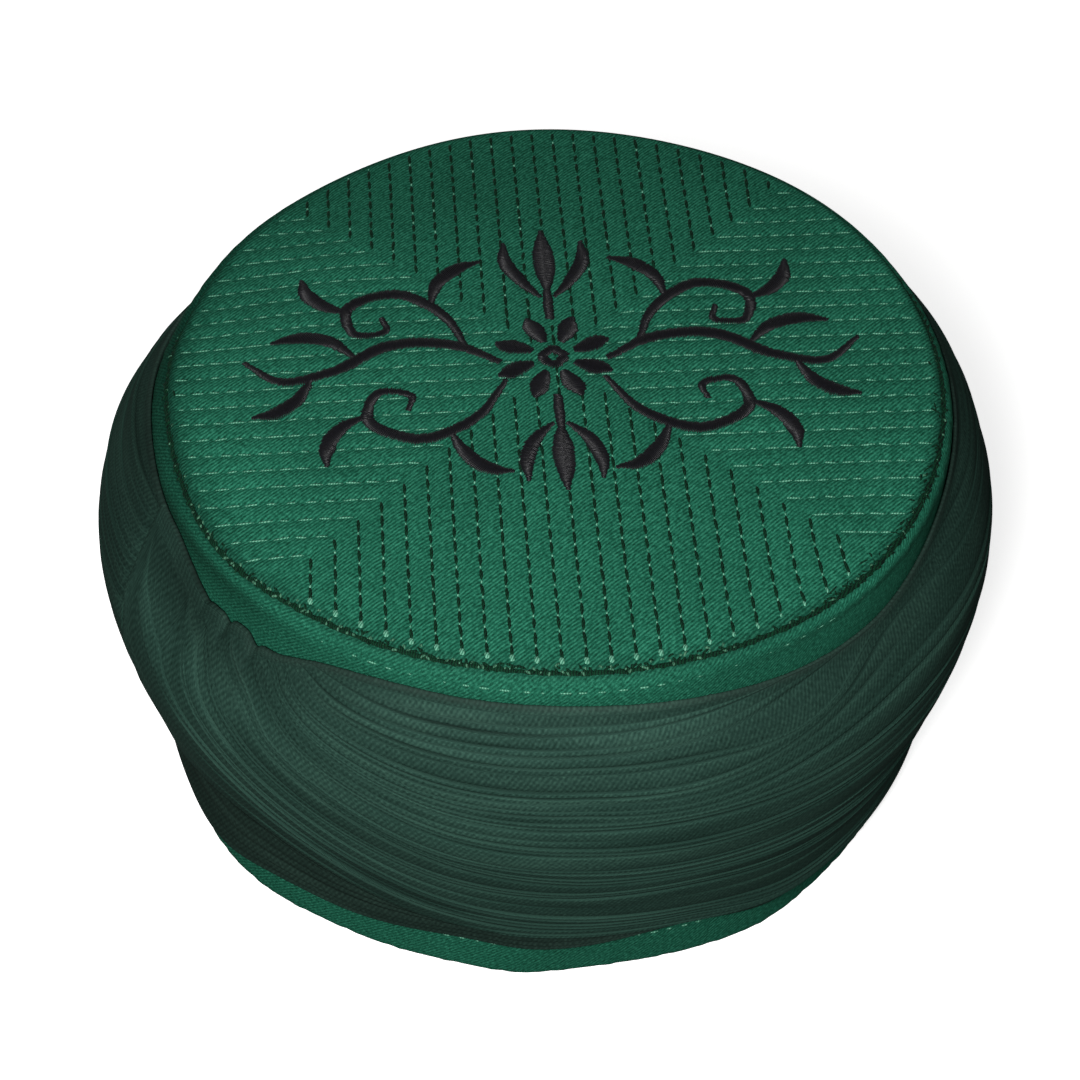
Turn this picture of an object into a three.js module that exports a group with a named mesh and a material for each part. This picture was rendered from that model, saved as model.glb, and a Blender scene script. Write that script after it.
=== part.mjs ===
// A wrapped cap: a round, flat-topped cloth cap with a quilted crown disc and a slightly tapered
// side wall, and a long strip of fine cloth wound round the wall in an under turn and an over turn.
// Millimetres and degrees. The rim lies on z = 0 with its centre at the origin, +Z is up and the
// front faces -Y. Angles run anticlockwise from +X, so the front is at -90 and the left at -180.
import * as THREE from "three";

// Driving dimensions of the cap
const capHeight = 98; // rim to the edge of the crown
const rimRadius = 92.5; // outside of the wall at the rim
const shoulderRadius = 89.4; // outside of the wall where it starts to turn in
const shoulderDrop = 7; // the turned-in shoulder's height below the crown
const seamRadius = 87; // edge of the crown disc
const wallThickness = 2.2;
const rimRound = 0.4; // softened lower corners of the wall
const pieceGap = 0.3; // clearance between neighbouring pieces
const wallSegments = 72;

// How the soft cap has settled: it leans a little, and its crown has sunk along the back left edge
const leanRight = 1.8; // the crown's centre lies this far to the right of the rim's
const rimCentreX = 1.1; // the rim's centre, so that the whole cap is centred on the origin
const sag = { angle: 138, spread: 34, depth: 4, fromRadius: 52, fromHeight: 55 };

// Driving dimensions of the quilted crown
const crownThickness = 2.4;
const crownRise = 0.8; // the middle of the crown above its edge
const crownEdgeWidth = 1.8; // rounded border beside the seam
const crownEdgeDrop = 1.1;
const quiltPitch = 5; // between neighbouring rows of quilting
const quiltRows = 11; // rows on each side of a sector's middle row
const quiltDepth = 0.4; // how far a row is pulled in
const quiltCentre = new THREE.Vector2(0.9, 3.2); // where the four sectors meet
const quiltSteps = 3; // faces along each row

// Driving dimensions of the wound strip
const wrapSegments = 76;
const underTop = 80; // hidden upper edge of the under turn
const underCrease = 0.6; // depth of the under turn's folds
const leastTurn = 1.2; // least thickness of the over turn
const edgeRoll = 0.7; // rounding of the strip's folded edges
const tuckStep = 2.2; // the over turn's start stands proud of its end
const tuckLean = 3; // degrees that the tuck slants back between its upper and lower ends
const tuckWidth = 1.2; // degrees that the step at the tuck takes

// Angles at which the fold tables below give heights, one name for each column
const stations = {
  tuck: -164,
  left: -150,
  leftFront: -135,
  quarter: -120,
  nearFront: -105,
  front: -90,
  rightFront: -60,
  right: -15,
  rightBack: 45,
  back: 90,
  leftBack: 150,
  end: 196,
};

// Folds of the over turn, from its lower to its upper edge: heights above the rim on the way round
// from the tuck to the end of the turn, and the depth of the crease under each pleat.
// The columns are the stations above, in their order.
const overFolds = [
  { name: "lower edge", crease: 0.0, heights: [37, 36, 33, 29, 25, 22, 20, 22, 24, 25, 29, 33] },
  { name: "fold 1", crease: 1.1, heights: [70, 59, 40, 34, 29, 26, 25, 28, 31, 32, 36, 40] },
  { name: "fold 2", crease: 0.9, heights: [74, 67, 52, 40, 33, 30, 30, 36, 39, 40, 43, 47] },
  { name: "fold 3", crease: 1.2, heights: [77, 72, 61, 49, 41, 38, 36, 43, 47, 47, 50, 54] },
  { name: "fold 4", crease: 1.3, heights: [80, 76, 70, 61, 53, 48, 44, 50, 54, 54, 57, 61] },
  { name: "fold 5", crease: 0.9, heights: [82, 79, 74, 66, 61, 57, 53, 57, 60, 60, 63, 67] },
  { name: "fold 6", crease: 1.1, heights: [84, 82, 77, 70, 65, 64, 62, 64, 66, 66, 69, 73] },
  { name: "fold 7", crease: 1.2, heights: [86, 84, 80, 74, 70, 69, 70, 71, 73, 73, 75, 79] },
  { name: "fold 8", crease: 0.8, heights: [88, 86, 83, 79, 78, 77, 75, 79, 80, 80, 81, 84] },
  { name: "fold 9", crease: 0.7, heights: [90, 88, 86, 85, 85, 85, 83, 87, 86, 86, 87, 89] },
  { name: "upper edge", crease: 0.0, heights: [93, 91, 89, 90, 91, 92, 90, 93, 92, 91, 92, 93] },
];

// Folds of the under turn that show below the over turn, in the same columns
const underFolds = [
  { name: "lower edge", heights: [7, 7, 7, 9, 12, 11, 14, 12, 12, 11, 9, 7] },
  { name: "fold 1", heights: [15, 15, 15, 15, 16, 15, 17, 17, 17, 17, 16, 15] },
  { name: "fold 2", heights: [26, 25, 23, 21, 20, 19, 20, 22, 22, 22, 24, 26] },
];

// Outer radius of the over turn at some heights, seen from the four sides
const overOutline = [
  { height: 20, left: 97.0, front: 96.4, right: 95.6, back: 95.8 },
  { height: 34, left: 101.0, front: 98.8, right: 98.6, back: 98.4 },
  { height: 46, left: 104.8, front: 100.8, right: 100.4, back: 100.4 },
  { height: 58, left: 106.4, front: 101.6, right: 102.0, back: 101.6 },
  { height: 70, left: 104.2, front: 100.2, right: 101.2, back: 100.6 },
  { height: 82, left: 99.0, front: 96.4, right: 97.4, back: 96.8 },
  { height: 93, left: 92.4, front: 91.6, right: 91.8, back: 91.6 },
];

// Thickness of the under turn on the four sides
const underThickness = { left: 2.2, front: 2.3, right: 1.6, back: 2.0 };

// Places of the face rows within one pleat, from its crease (0) to the next crease (1), and how
// far out of the crease each row stands, as a share of the crease's depth
const pleatRows = [
  { place: 0.0, out: 0.0 },
  { place: 0.22, out: 0.85 },
  { place: 0.7, out: 1.0 },
];

// A value that changes smoothly from side to side, at an angle
function aroundSides(side, angle) {
  const ring = [side.right, side.back, side.left, side.front];
  const turn = (((angle % 360) + 360) % 360) / 90;
  const quarter = Math.floor(turn);
  const ease = THREE.MathUtils.smoothstep(turn - quarter, 0, 1);
  return THREE.MathUtils.lerp(ring[quarter % 4], ring[(quarter + 1) % 4], ease);
}

// The heights of a table's folds at an angle, as a function of the angle
function foldHeights(folds) {
  const angles = Object.values(stations);
  const samples = angles.flatMap((_, column) => folds.map((fold) => fold.heights[column]));
  const curve = new THREE.CubicInterpolant(angles, samples, folds.length);
  return (angle) => Array.from(curve.evaluate(angle));
}

// The outside of the plain wall at a height
function wallOuter(height) {
  const share = height / (capHeight - shoulderDrop);
  return THREE.MathUtils.lerp(rimRadius, shoulderRadius, share);
}

// The outside of the under turn before its folds are creased
function underOuter(height, angle) {
  return wallOuter(height) + pieceGap + aroundSides(underThickness, angle);
}

// A point at an angle, a radius and a height
function ringPoint(angle, radius, height) {
  const turn = THREE.MathUtils.degToRad(angle);
  return new THREE.Vector3(radius * Math.cos(turn), radius * Math.sin(turn), height);
}

// A point of the upright cap, moved to where it lies on the settled one
function settle(point) {
  const angle = THREE.MathUtils.radToDeg(Math.atan2(point.y, point.x));
  const away = Math.abs(THREE.MathUtils.euclideanModulo(angle - sag.angle + 180, 360) - 180);
  const near = 1 - THREE.MathUtils.smoothstep(away, 0, sag.spread);
  const outwards = THREE.MathUtils.smoothstep(Math.hypot(point.x, point.y), sag.fromRadius, seamRadius);
  const upwards = THREE.MathUtils.smoothstep(point.z, sag.fromHeight, capHeight);
  point.x += rimCentreX + (leanRight * point.z) / capHeight;
  point.z -= sag.depth * near * outwards * upwards;
  return point;
}

// A named mesh of an upright geometry, with every corner settled
function settledMesh(name, geometry, material) {
  const corners = geometry.getAttribute("position");
  const point = new THREE.Vector3();
  for (let index = 0; index < corners.count; index++) {
    settle(point.fromBufferAttribute(corners, index));
    corners.setXYZ(index, point.x, point.y, point.z);
  }
  geometry.computeVertexNormals();
  const mesh = new THREE.Mesh(geometry, material);
  mesh.name = name;
  return mesh;
}

// A geometry of loose triangles, each given by three corners that run anticlockwise from outside
function skinOf(triangles) {
  const open = ([a, b, c]) => Math.min(a.distanceTo(b), b.distanceTo(c), c.distanceTo(a)) > 1e-6;
  return new THREE.BufferGeometry().setFromPoints(triangles.filter(open).flat());
}

// The closed skin of a ring whose cross-sections are closed loops with equal numbers of points
function ringSkin(sections) {
  const triangles = [];
  sections.forEach((here, column) => {
    const next = sections[(column + 1) % sections.length];
    here.forEach((point, row) => {
      const above = (row + 1) % here.length;
      triangles.push([point, next[row], next[above]], [point, next[above], here[above]]);
    });
  });
  return triangles;
}

// The crown disc: four sectors of quilting rows that run outwards from the diagonals, each row
// pulled in along its stitches, with a rounded border and a flat underside
function crownDisc(material) {
  const inner = seamRadius - crownEdgeWidth;
  const sectors = [-90, 0, 90, 180].map((angle) => {
    const turn = THREE.MathUtils.degToRad(angle);
    return new THREE.Vector2(Math.round(Math.cos(turn)), Math.round(Math.sin(turn)));
  });

  // Distance from the quilting's centre along a direction to the border, starting beside the centre
  const reach = (start, direction) => {
    const along = start.dot(direction);
    return -along + Math.sqrt(along * along - start.lengthSq() + inner * inner);
  };

  const topPoint = (place, offset) => {
    const dome = crownRise * (1 - place.lengthSq() / (inner * inner));
    const row = Math.round(offset / quiltPitch);
    const onRow = Math.abs(offset - row * quiltPitch) < 1e-6 && Math.abs(row) <= quiltRows;
    return new THREE.Vector3(place.x, place.y, capHeight + dome - (onRow ? quiltDepth : 0));
  };

  const triangles = [];
  const border = [];
  sectors.forEach((along) => {
    const across = new THREE.Vector2(-along.y, along.x);
    const corner = (sign) => {
      const diagonal = along.clone().addScaledVector(across, sign).normalize();
      return reach(quiltCentre, diagonal) / Math.SQRT2;
    };
    const [low, high] = [-corner(-1), corner(1)];
    const offsets = [low];
    for (let half = Math.ceil((2 * low) / quiltPitch); half <= (2 * high) / quiltPitch; half++) {
      offsets.push((half * quiltPitch) / 2);
    }
    offsets.push(high);

    const lines = offsets.map((offset) => {
      const start = quiltCentre.clone().addScaledVector(across, offset);
      const [first, last] = [Math.abs(offset), reach(start, along)];
      return Array.from({ length: quiltSteps + 1 }, (_, step) => {
        const distance = THREE.MathUtils.lerp(first, last, step / quiltSteps);
        return topPoint(start.clone().addScaledVector(along, distance), offset);
      });
    });
    for (let column = 0; column + 1 < lines.length; column++) {
      const [here, next] = [lines[column], lines[column + 1]];
      for (let step = 0; step < quiltSteps; step++) {
        const beyond = step + 1;
        triangles.push([here[step], here[beyond], next[beyond]], [here[step], next[beyond], next[step]]);
      }
    }
    border.push(...lines.slice(0, -1).map((line) => line[quiltSteps]));
  });

  const onCircle = (radius, height) => (point) => {
    const out = new THREE.Vector2(point.x, point.y).setLength(radius);
    return new THREE.Vector3(out.x, out.y, height);
  };
  const underside = capHeight - crownThickness;
  const middle = new THREE.Vector3(0, 0, underside);
  border.forEach((point, index) => {
    const next = border[(index + 1) % border.length];
    const rings = [
      [point, next],
      [point, next].map(onCircle(seamRadius, capHeight - crownEdgeDrop)),
      [point, next].map(onCircle(seamRadius, underside)),
      [point, next].map(onCircle(sag.fromRadius, underside)),
    ];
    for (let ring = 0; ring + 1 < rings.length; ring++) {
      const [[a, b], [c, d]] = [rings[ring], rings[ring + 1]];
      triangles.push([a, c, d], [a, d, b]);
    }
    const [last, lastNext] = rings[rings.length - 1];
    triangles.push([last, middle, lastNext]);
  });
  return settledMesh("crown_disc", skinOf(triangles), material);
}

// The side wall: one closed profile turned round the axis, flat at the rim, turned in at the shoulder
function sideWall(material) {
  const lip = seamRadius + pieceGap;
  const shoulder = capHeight - shoulderDrop;
  const roundSteps = 4;
  const profile = [
    new THREE.Vector2(rimRadius - rimRound, 0),
    new THREE.Vector2(rimRadius, rimRound),
    new THREE.Vector2(wallOuter(shoulder / 2), shoulder / 2),
  ];
  for (let step = 0; step <= roundSteps; step++) {
    const bend = (step / roundSteps) * (Math.PI / 2);
    profile.push(new THREE.Vector2(
      lip + (shoulderRadius - lip) * Math.cos(bend),
      shoulder + (shoulderDrop - crownEdgeDrop) * Math.sin(bend),
    ));
  }
  profile.push(
    new THREE.Vector2(lip, capHeight - crownThickness),
    new THREE.Vector2(shoulderRadius - wallThickness, shoulder - wallThickness),
    new THREE.Vector2(rimRadius - wallThickness, rimRound),
    new THREE.Vector2(rimRadius - wallThickness + rimRound, 0),
  );
  profile.push(profile[0].clone());
  const geometry = new THREE.LatheGeometry(profile, wallSegments);
  geometry.rotateX(Math.PI / 2);
  return settledMesh("side_wall", geometry, material);
}

// The under turn: a wound layer against the wall, with creases in the band that shows
function wrapUnderTurn(material) {
  const heightsAt = foldHeights(underFolds);
  const start = stations.tuck;
  const sections = Array.from({ length: wrapSegments }, (_, column) => {
    const angle = start + (360 * column) / wrapSegments;
    const folds = heightsAt(angle);
    const edge = folds[0];
    const outside = (height, depth) => ringPoint(angle, underOuter(height, angle) - depth, height);
    const inside = (height) => ringPoint(angle, wallOuter(height) + pieceGap, height);
    const rows = [inside(edge + edgeRoll), outside(edge, 1.6 * edgeRoll), outside(edge + edgeRoll, 0)];
    folds.slice(1).forEach((fold, index) => {
      const below = folds[index];
      rows.push(outside(THREE.MathUtils.lerp(below, fold, 0.75), 0));
      rows.push(outside(fold, underCrease));
      rows.push(outside(fold + 2 * edgeRoll, 0));
    });
    rows.push(outside(underTop - edgeRoll, 0), outside(underTop, edgeRoll), inside(underTop - edgeRoll));
    return rows;
  });
  return settledMesh("wrap_under_turn", skinOf(ringSkin(sections)), material);
}

// The over turn: pleats that fan out from the tuck on the left, sweep down across the front and
// run level round the right and the back, where the turn ends under its own start
function wrapOverTurn(material) {
  const heightsAt = foldHeights(overFolds);
  const heights = overOutline.map((row) => row.height);
  const [lowest, highest] = [heights[0], heights[heights.length - 1]];
  const start = stations.tuck;
  const sweep = 360 - tuckWidth;
  const sections = Array.from({ length: wrapSegments + 1 }, (_, column) => {
    const turn = column / wrapSegments;
    const angle = start + sweep * turn;
    const folds = heightsAt(angle);
    const [edge, top] = [folds[0], folds[folds.length - 1]];
    const sunk = tuckStep * THREE.MathUtils.smoothstep(turn, 0.75, 1);
    const radii = overOutline.map((row) => aroundSides(row, angle));
    const outline = new THREE.CubicInterpolant(heights, radii, 1);
    const lean = (height) => angle - tuckLean * (1 - turn) * (1 - height / capHeight);
    const cleared = underTop + edgeRoll;
    const inside = (height) => (height <= cleared ? underOuter(height, angle) : wallOuter(height)) + pieceGap;
    const innerPoint = (height) => ringPoint(lean(height), inside(height), height);
    const outerPoint = (height, depth) => {
      const swell = outline.evaluate(THREE.MathUtils.clamp(height, lowest, highest))[0] - sunk;
      const radius = Math.max(swell - depth, inside(height) + leastTurn);
      return ringPoint(lean(height), radius, height);
    };
    const rows = [innerPoint(edge + edgeRoll), outerPoint(edge, 1.5 * edgeRoll)];
    for (let pleat = 0; pleat + 1 < folds.length; pleat++) {
      const { crease } = overFolds[pleat];
      pleatRows.slice(pleat === 0 ? 1 : 0).forEach(({ place, out }) => {
        const height = THREE.MathUtils.lerp(folds[pleat], folds[pleat + 1], place);
        rows.push(outerPoint(height, crease * (1 - out)));
      });
    }
    rows.push(outerPoint(top - edgeRoll, 0), innerPoint(top), innerPoint(cleared + edgeRoll));
    rows.push(innerPoint(cleared), innerPoint((cleared + edge) / 2));
    return rows;
  });
  return settledMesh("wrap_over_turn", skinOf(ringSkin(sections)), material);
}

// Finishes
const twill = new THREE.MeshStandardMaterial({ color: "#24684c", roughness: 0.85, metalness: 0 });
const fineCloth = new THREE.MeshStandardMaterial({ color: "#20382f", roughness: 0.75, metalness: 0 });

const cap = new THREE.Group();
cap.add(crownDisc(twill), sideWall(twill), wrapUnderTurn(fineCloth), wrapOverTurn(fineCloth));

export default cap;
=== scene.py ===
# A wrapped cap: a quilted crown disc sewn to a side wall, and a strip of fine cloth wound round the wall.
# Metres. The rim lies on z = 0, +Z is up and the front faces -Y. Angles are in degrees, anticlockwise
# from +X, so the front is at -90 and the left at 180. Places are worked out on an upright cap, which is
# then settled: it leans a little, and the crown has sunk along its back left edge.
import math

import bpy
import numpy as np
from mathutils import Matrix, Vector


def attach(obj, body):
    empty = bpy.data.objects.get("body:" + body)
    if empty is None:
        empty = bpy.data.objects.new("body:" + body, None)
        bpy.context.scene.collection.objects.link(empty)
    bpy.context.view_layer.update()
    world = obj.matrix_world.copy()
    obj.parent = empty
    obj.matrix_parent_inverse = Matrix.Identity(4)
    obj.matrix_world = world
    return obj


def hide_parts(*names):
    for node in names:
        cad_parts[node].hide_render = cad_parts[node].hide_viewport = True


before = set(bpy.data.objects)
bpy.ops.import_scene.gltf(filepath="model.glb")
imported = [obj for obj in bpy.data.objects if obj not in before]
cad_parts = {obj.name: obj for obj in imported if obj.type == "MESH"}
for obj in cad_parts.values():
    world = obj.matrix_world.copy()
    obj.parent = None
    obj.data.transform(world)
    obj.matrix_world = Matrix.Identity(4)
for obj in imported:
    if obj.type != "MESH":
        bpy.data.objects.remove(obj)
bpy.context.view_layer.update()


# Crown disc
# The flat top: green cotton twill with a stiff layer behind it, quilted by machine in four sectors of
# straight rows that turn a right angle on the diagonals. Its border rolls down into the seam with the wall.
MM = 0.001
CAP_HEIGHT = 98 * MM
SEAM_RADIUS = 86.3 * MM
CROWN_THICKNESS = 2.4 * MM
CROWN_RISE = 0.8 * MM
BORDER_WIDTH = 1.8 * MM
BORDER_DROP = 1.1 * MM
BORDER_RADIUS = SEAM_RADIUS - BORDER_WIDTH
QUILT_CENTRE = np.array([0.9, 3.2]) * MM
QUILT_PITCH = 5 * MM
QUILT_ROWS = 11
GROOVE_DEPTH = 0.45 * MM
GROOVE_WIDTH = 0.7 * MM
CROWN_COLUMNS_PER_ROW = 6
CROWN_STEPS = 46
LEAST_COLUMN = 0.3
LEAN_RIGHT = 1.8 * MM
RIM_CENTRE_X = 1.1 * MM
SAG_FROM_RADIUS = 52 * MM
SAG_FROM_HEIGHT = 55 * MM
SHIFT_FROM_RADIUS = SEAM_RADIUS - 12 * MM
SHIFT_FROM_HEIGHT = CAP_HEIGHT - 7 * MM
SHIFT_FULL_HEIGHT = CAP_HEIGHT - 1 * MM
RIM_BULGE_TOP = 30 * MM
MERGE_WITHIN = 0.002 * MM

# Where the crown's border sags, the rim has spread and the crown seam has shifted: the angle, the degrees
# that it takes, and how far down or out it lies
SAGS = [(128, 26, 2.3 * MM), (161, 16, 2.2 * MM)]
RIM_BULGES = [(-140, 14, 2.5 * MM), (-115, 12, 0.4 * MM), (-97, 6, 1.1 * MM), (-62, 12, 1.7 * MM)]
SEAM_SHIFTS = [
    (159, 14, -0.7 * MM), (-174, 16, -1.0 * MM), (-144, 12, 1.4 * MM), (-102, 10, -0.6 * MM),
    (-48, 24, 1.6 * MM), (42, 20, 1.0 * MM), (95, 24, 0.6 * MM)]


def smoothstep(value, low, high):
    share = np.clip((value - low) / (high - low), 0, 1)
    return share * share * (3 - 2 * share)


def turned_from(angles, middle):
    """Degrees from a middle, the short way round."""
    return (angles - middle + 180) % 360 - 180


def bumps(angles, table):
    """The sum of smooth bumps round the cap: their angles, widths in degrees and heights."""
    return sum(most * np.exp(-(turned_from(angles, middle) / width) ** 2) for middle, width, most in table)


def about_axis(places):
    """Angles and radii of places about the cap's axis."""
    x, y = places[..., 0], places[..., 1]
    return np.degrees(np.arctan2(y, x)), np.hypot(x, y)


def settle(places):
    """Places of the upright cap, moved to where they lie on the settled one."""
    x, y, z = np.moveaxis(places, -1, 0)
    angle, radius = about_axis(places)
    outwards = smoothstep(radius, SAG_FROM_RADIUS, SEAM_RADIUS)
    upwards = smoothstep(z, SAG_FROM_HEIGHT, CAP_HEIGHT)
    shifted = bumps(angle, SEAM_SHIFTS) * smoothstep(z, SHIFT_FROM_HEIGHT, SHIFT_FULL_HEIGHT)
    shifted = shifted * smoothstep(radius, SHIFT_FROM_RADIUS, SEAM_RADIUS)
    spread = bumps(angle, RIM_BULGES) * (1 - smoothstep(z, 0, RIM_BULGE_TOP))
    kept = 1 + (spread + shifted) / SEAM_RADIUS
    moved_x = x * kept + RIM_CENTRE_X + LEAN_RIGHT * z / CAP_HEIGHT
    return np.stack([moved_x, y * kept, z - bumps(angle, SAGS) * outwards * upwards], axis=-1)


def corners_of(piece):
    places = np.empty(len(piece.data.vertices) * 3)
    piece.data.vertices.foreach_get("co", places)
    return places.reshape(-1, 3)


def move_corners(piece, places):
    piece.data.vertices.foreach_set("co", np.ascontiguousarray(places, dtype=np.float32).ravel())
    piece.data.update()


def close_seams(piece):
    """Merges the corners that lie on each other and turns every face outwards."""
    bpy.ops.object.mode_set(mode="EDIT")
    bpy.ops.mesh.select_all(action="SELECT")
    bpy.ops.mesh.remove_doubles(threshold=MERGE_WITHIN)
    bpy.ops.mesh.normals_make_consistent(inside=False)
    bpy.ops.object.mode_set(mode="OBJECT")
    bpy.ops.object.shade_smooth()


def shade_corners(piece, values):
    """Painted shade and light at each corner: the factor on the cloth's colour there, 1 where it is left as
    it is.
    """
    layer = piece.data.attributes.new("shade", "FLOAT", "POINT")
    layer.data.foreach_set("value", np.ascontiguousarray(values, dtype=np.float32))


def quilt_offset(x, y):
    """Distance from the sector's middle row, across the rows."""
    beside = x - QUILT_CENTRE[0]
    ahead = y - QUILT_CENTRE[1]
    return np.where(np.abs(ahead) >= np.abs(beside), beside, ahead)


def crown_top(x, y):
    """Height of the quilted top, pulled in along each row."""
    offset = quilt_offset(x, y)
    row = np.clip(np.rint(offset / QUILT_PITCH), -QUILT_ROWS, QUILT_ROWS)
    groove = GROOVE_DEPTH * np.exp(-((offset - row * QUILT_PITCH) / GROOVE_WIDTH) ** 2)
    dome = CROWN_RISE * (1 - (x * x + y * y) / BORDER_RADIUS ** 2)
    return CAP_HEIGHT + dome - groove


def quilt_reach(start, direction):
    """Distance along a direction from a start inside the border to the border."""
    along = start @ direction
    return -along + np.sqrt(along * along - np.sum(start * start, axis=-1) + BORDER_RADIUS ** 2)


SECTORS = {
    "front": np.array([0.0, -1.0]),
    "right": np.array([1.0, 0.0]),
    "back": np.array([0.0, 1.0]),
    "left": np.array([-1.0, 0.0]),
}

sectors = []
for along in SECTORS.values():
    across = np.array([-along[1], along[0]])
    low = -quilt_reach(QUILT_CENTRE, (along - across) / math.sqrt(2)) / math.sqrt(2)
    high = quilt_reach(QUILT_CENTRE, (along + across) / math.sqrt(2)) / math.sqrt(2)
    spacing = QUILT_PITCH / CROWN_COLUMNS_PER_ROW
    inner_columns = np.arange(math.ceil(low / spacing + LEAST_COLUMN),
                              math.floor(high / spacing - LEAST_COLUMN) + 1)
    offsets = np.concatenate([[low], inner_columns * spacing, [high]])
    columns = len(offsets) - 1
    bpy.ops.object.select_all(action="DESELECT")
    bpy.ops.mesh.primitive_grid_add(x_subdivisions=columns, y_subdivisions=CROWN_STEPS, size=2)
    sector = bpy.context.object
    grid = corners_of(sector)
    offset = offsets[np.rint((grid[:, 0] + 1) / 2 * columns).astype(int)]
    share = (grid[:, 1] + 1) / 2
    start = QUILT_CENTRE + offset[:, None] * across
    first = np.abs(offset)
    distance = first + (quilt_reach(start, along) - first) * share
    plan = start + distance[:, None] * along
    move_corners(sector, np.column_stack([plan, crown_top(plan[:, 0], plan[:, 1])]))
    sectors.append(sector)

bpy.ops.object.select_all(action="DESELECT")
for sector in sectors:
    sector.select_set(True)
bpy.context.view_layer.objects.active = sectors[0]
bpy.ops.object.join()
crown = bpy.context.object
crown.name = "crown_disc_quilted"
close_seams(crown)
if crown.data.polygons[0].normal.z < 0:
    crown.data.flip_normals()

BORDER_STEPS = 4
bpy.ops.object.mode_set(mode="EDIT")
bpy.ops.mesh.select_mode(type="EDGE")
bpy.ops.mesh.select_all(action="DESELECT")
bpy.ops.mesh.select_non_manifold()
for step in range(1, BORDER_STEPS + 1):
    bend = math.radians(90) * step / BORDER_STEPS
    bpy.ops.mesh.extrude_region_move()
    bpy.ops.object.mode_set(mode="OBJECT")
    places = corners_of(crown)
    chosen = np.empty(len(places), dtype=bool)
    crown.data.vertices.foreach_get("select", chosen)
    ring = places[chosen]
    radius = BORDER_RADIUS + BORDER_WIDTH * math.sin(bend)
    ring[:, :2] *= (radius / np.hypot(ring[:, 0], ring[:, 1]))[:, None]
    ring[:, 2] = CAP_HEIGHT - BORDER_DROP * (1 - math.cos(bend))
    places[chosen] = ring
    move_corners(crown, places)
    bpy.ops.object.mode_set(mode="EDIT")
bpy.ops.object.mode_set(mode="OBJECT")
bpy.ops.object.shade_smooth()

backing = crown.modifiers.new("stiff backing", "SOLIDIFY")
backing.thickness = CROWN_THICKNESS
backing.offset = -1
bpy.ops.object.modifier_apply(modifier=backing.name)

# Painted shade: the border is darker on the left and where it rolls into the seam, less so at the back,
# where the whole crown is painted a little darker, as shade that falls off away from the light
SHADED_BORDER = [(180, 50, 0.3)]
SHADED_FROM = SEAM_RADIUS - 9 * MM
ROLL_FROM = SEAM_RADIUS - 2.6 * MM
ROLL_FULL = SEAM_RADIUS - 0.4 * MM
ROLL_SHADE = 0.4
ROLL_LOST_AT_BACK = 0.7
BACK_FROM = 15 * MM
BACK_FULL = 80 * MM
BACK_SHADE = 0.16
places = corners_of(crown)
angles, radius = about_axis(places)
darkening = smoothstep(radius, SHADED_FROM, SEAM_RADIUS) * bumps(angles, SHADED_BORDER)
far_back = smoothstep(places[:, 1], BACK_FROM, BACK_FULL)
rolled_in = smoothstep(radius, ROLL_FROM, ROLL_FULL) * (1 - ROLL_LOST_AT_BACK * far_back)
shade_corners(crown, (1 - darkening) * (1 - ROLL_SHADE * rolled_in) * (1 - BACK_SHADE * far_back))
move_corners(crown, settle(places))


def linear(colour):
    """Linear RGBA of an sRGB hex colour."""
    channels = [int(colour[place:place + 2], 16) / 255 for place in (1, 3, 5)]
    return tuple(c / 12.92 if c <= 0.04045 else ((c + 0.055) / 1.055) ** 2.4 for c in channels) + (1.0,)


def blank_finish(name):
    """A new material with no nodes yet, and its node tree."""
    material = bpy.data.materials.new(name)
    material.use_nodes = True
    material.node_tree.nodes.clear()
    return material, material.node_tree


def node(tree, kind, sockets=None, stops=(), **settings):
    """Adds a node: its settings and colour stops, and its sockets, each a value or a linked output."""
    made = tree.nodes.new(kind)
    for position, _ in stops[1:-1]:
        made.color_ramp.elements.new(position)
    for number, (position, colour) in enumerate(stops):
        made.color_ramp.elements[number].position = position
        made.color_ramp.elements[number].color = linear(colour)
    for name, value in settings.items():
        setattr(made, name, value)
    for name, value in (sockets or {}).items():
        if isinstance(value, bpy.types.NodeSocket):
            tree.links.new(value, made.inputs[name])
        else:
            made.inputs[name].default_value = value
    return made


# Blender's wave texture has 20 radians to a unit at scale 1, so a pattern of one pitch needs this over it
WAVE_SCALE = 2 * math.pi / 20


# Cotton twill: floats of yarn lie side by side in diagonal ridges, painted lighter on top and darker in the
# valleys as light and shade, matt with a faint bloom. The ridges are about 0.6 mm apart, too fine to show,
# so they are drawn at 0.76 mm.
# Single yarns are uneven, so the ridges are broken into flecks, and painted shade from the shade attribute
# darkens the left border and the other places where shade falls.
TWILL_PITCH = 0.76 * MM
TWILL_FLECK = 0.52 * MM
TWILL_SLANT = math.radians(49)
WEAR_PATCH = 22 * MM


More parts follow.
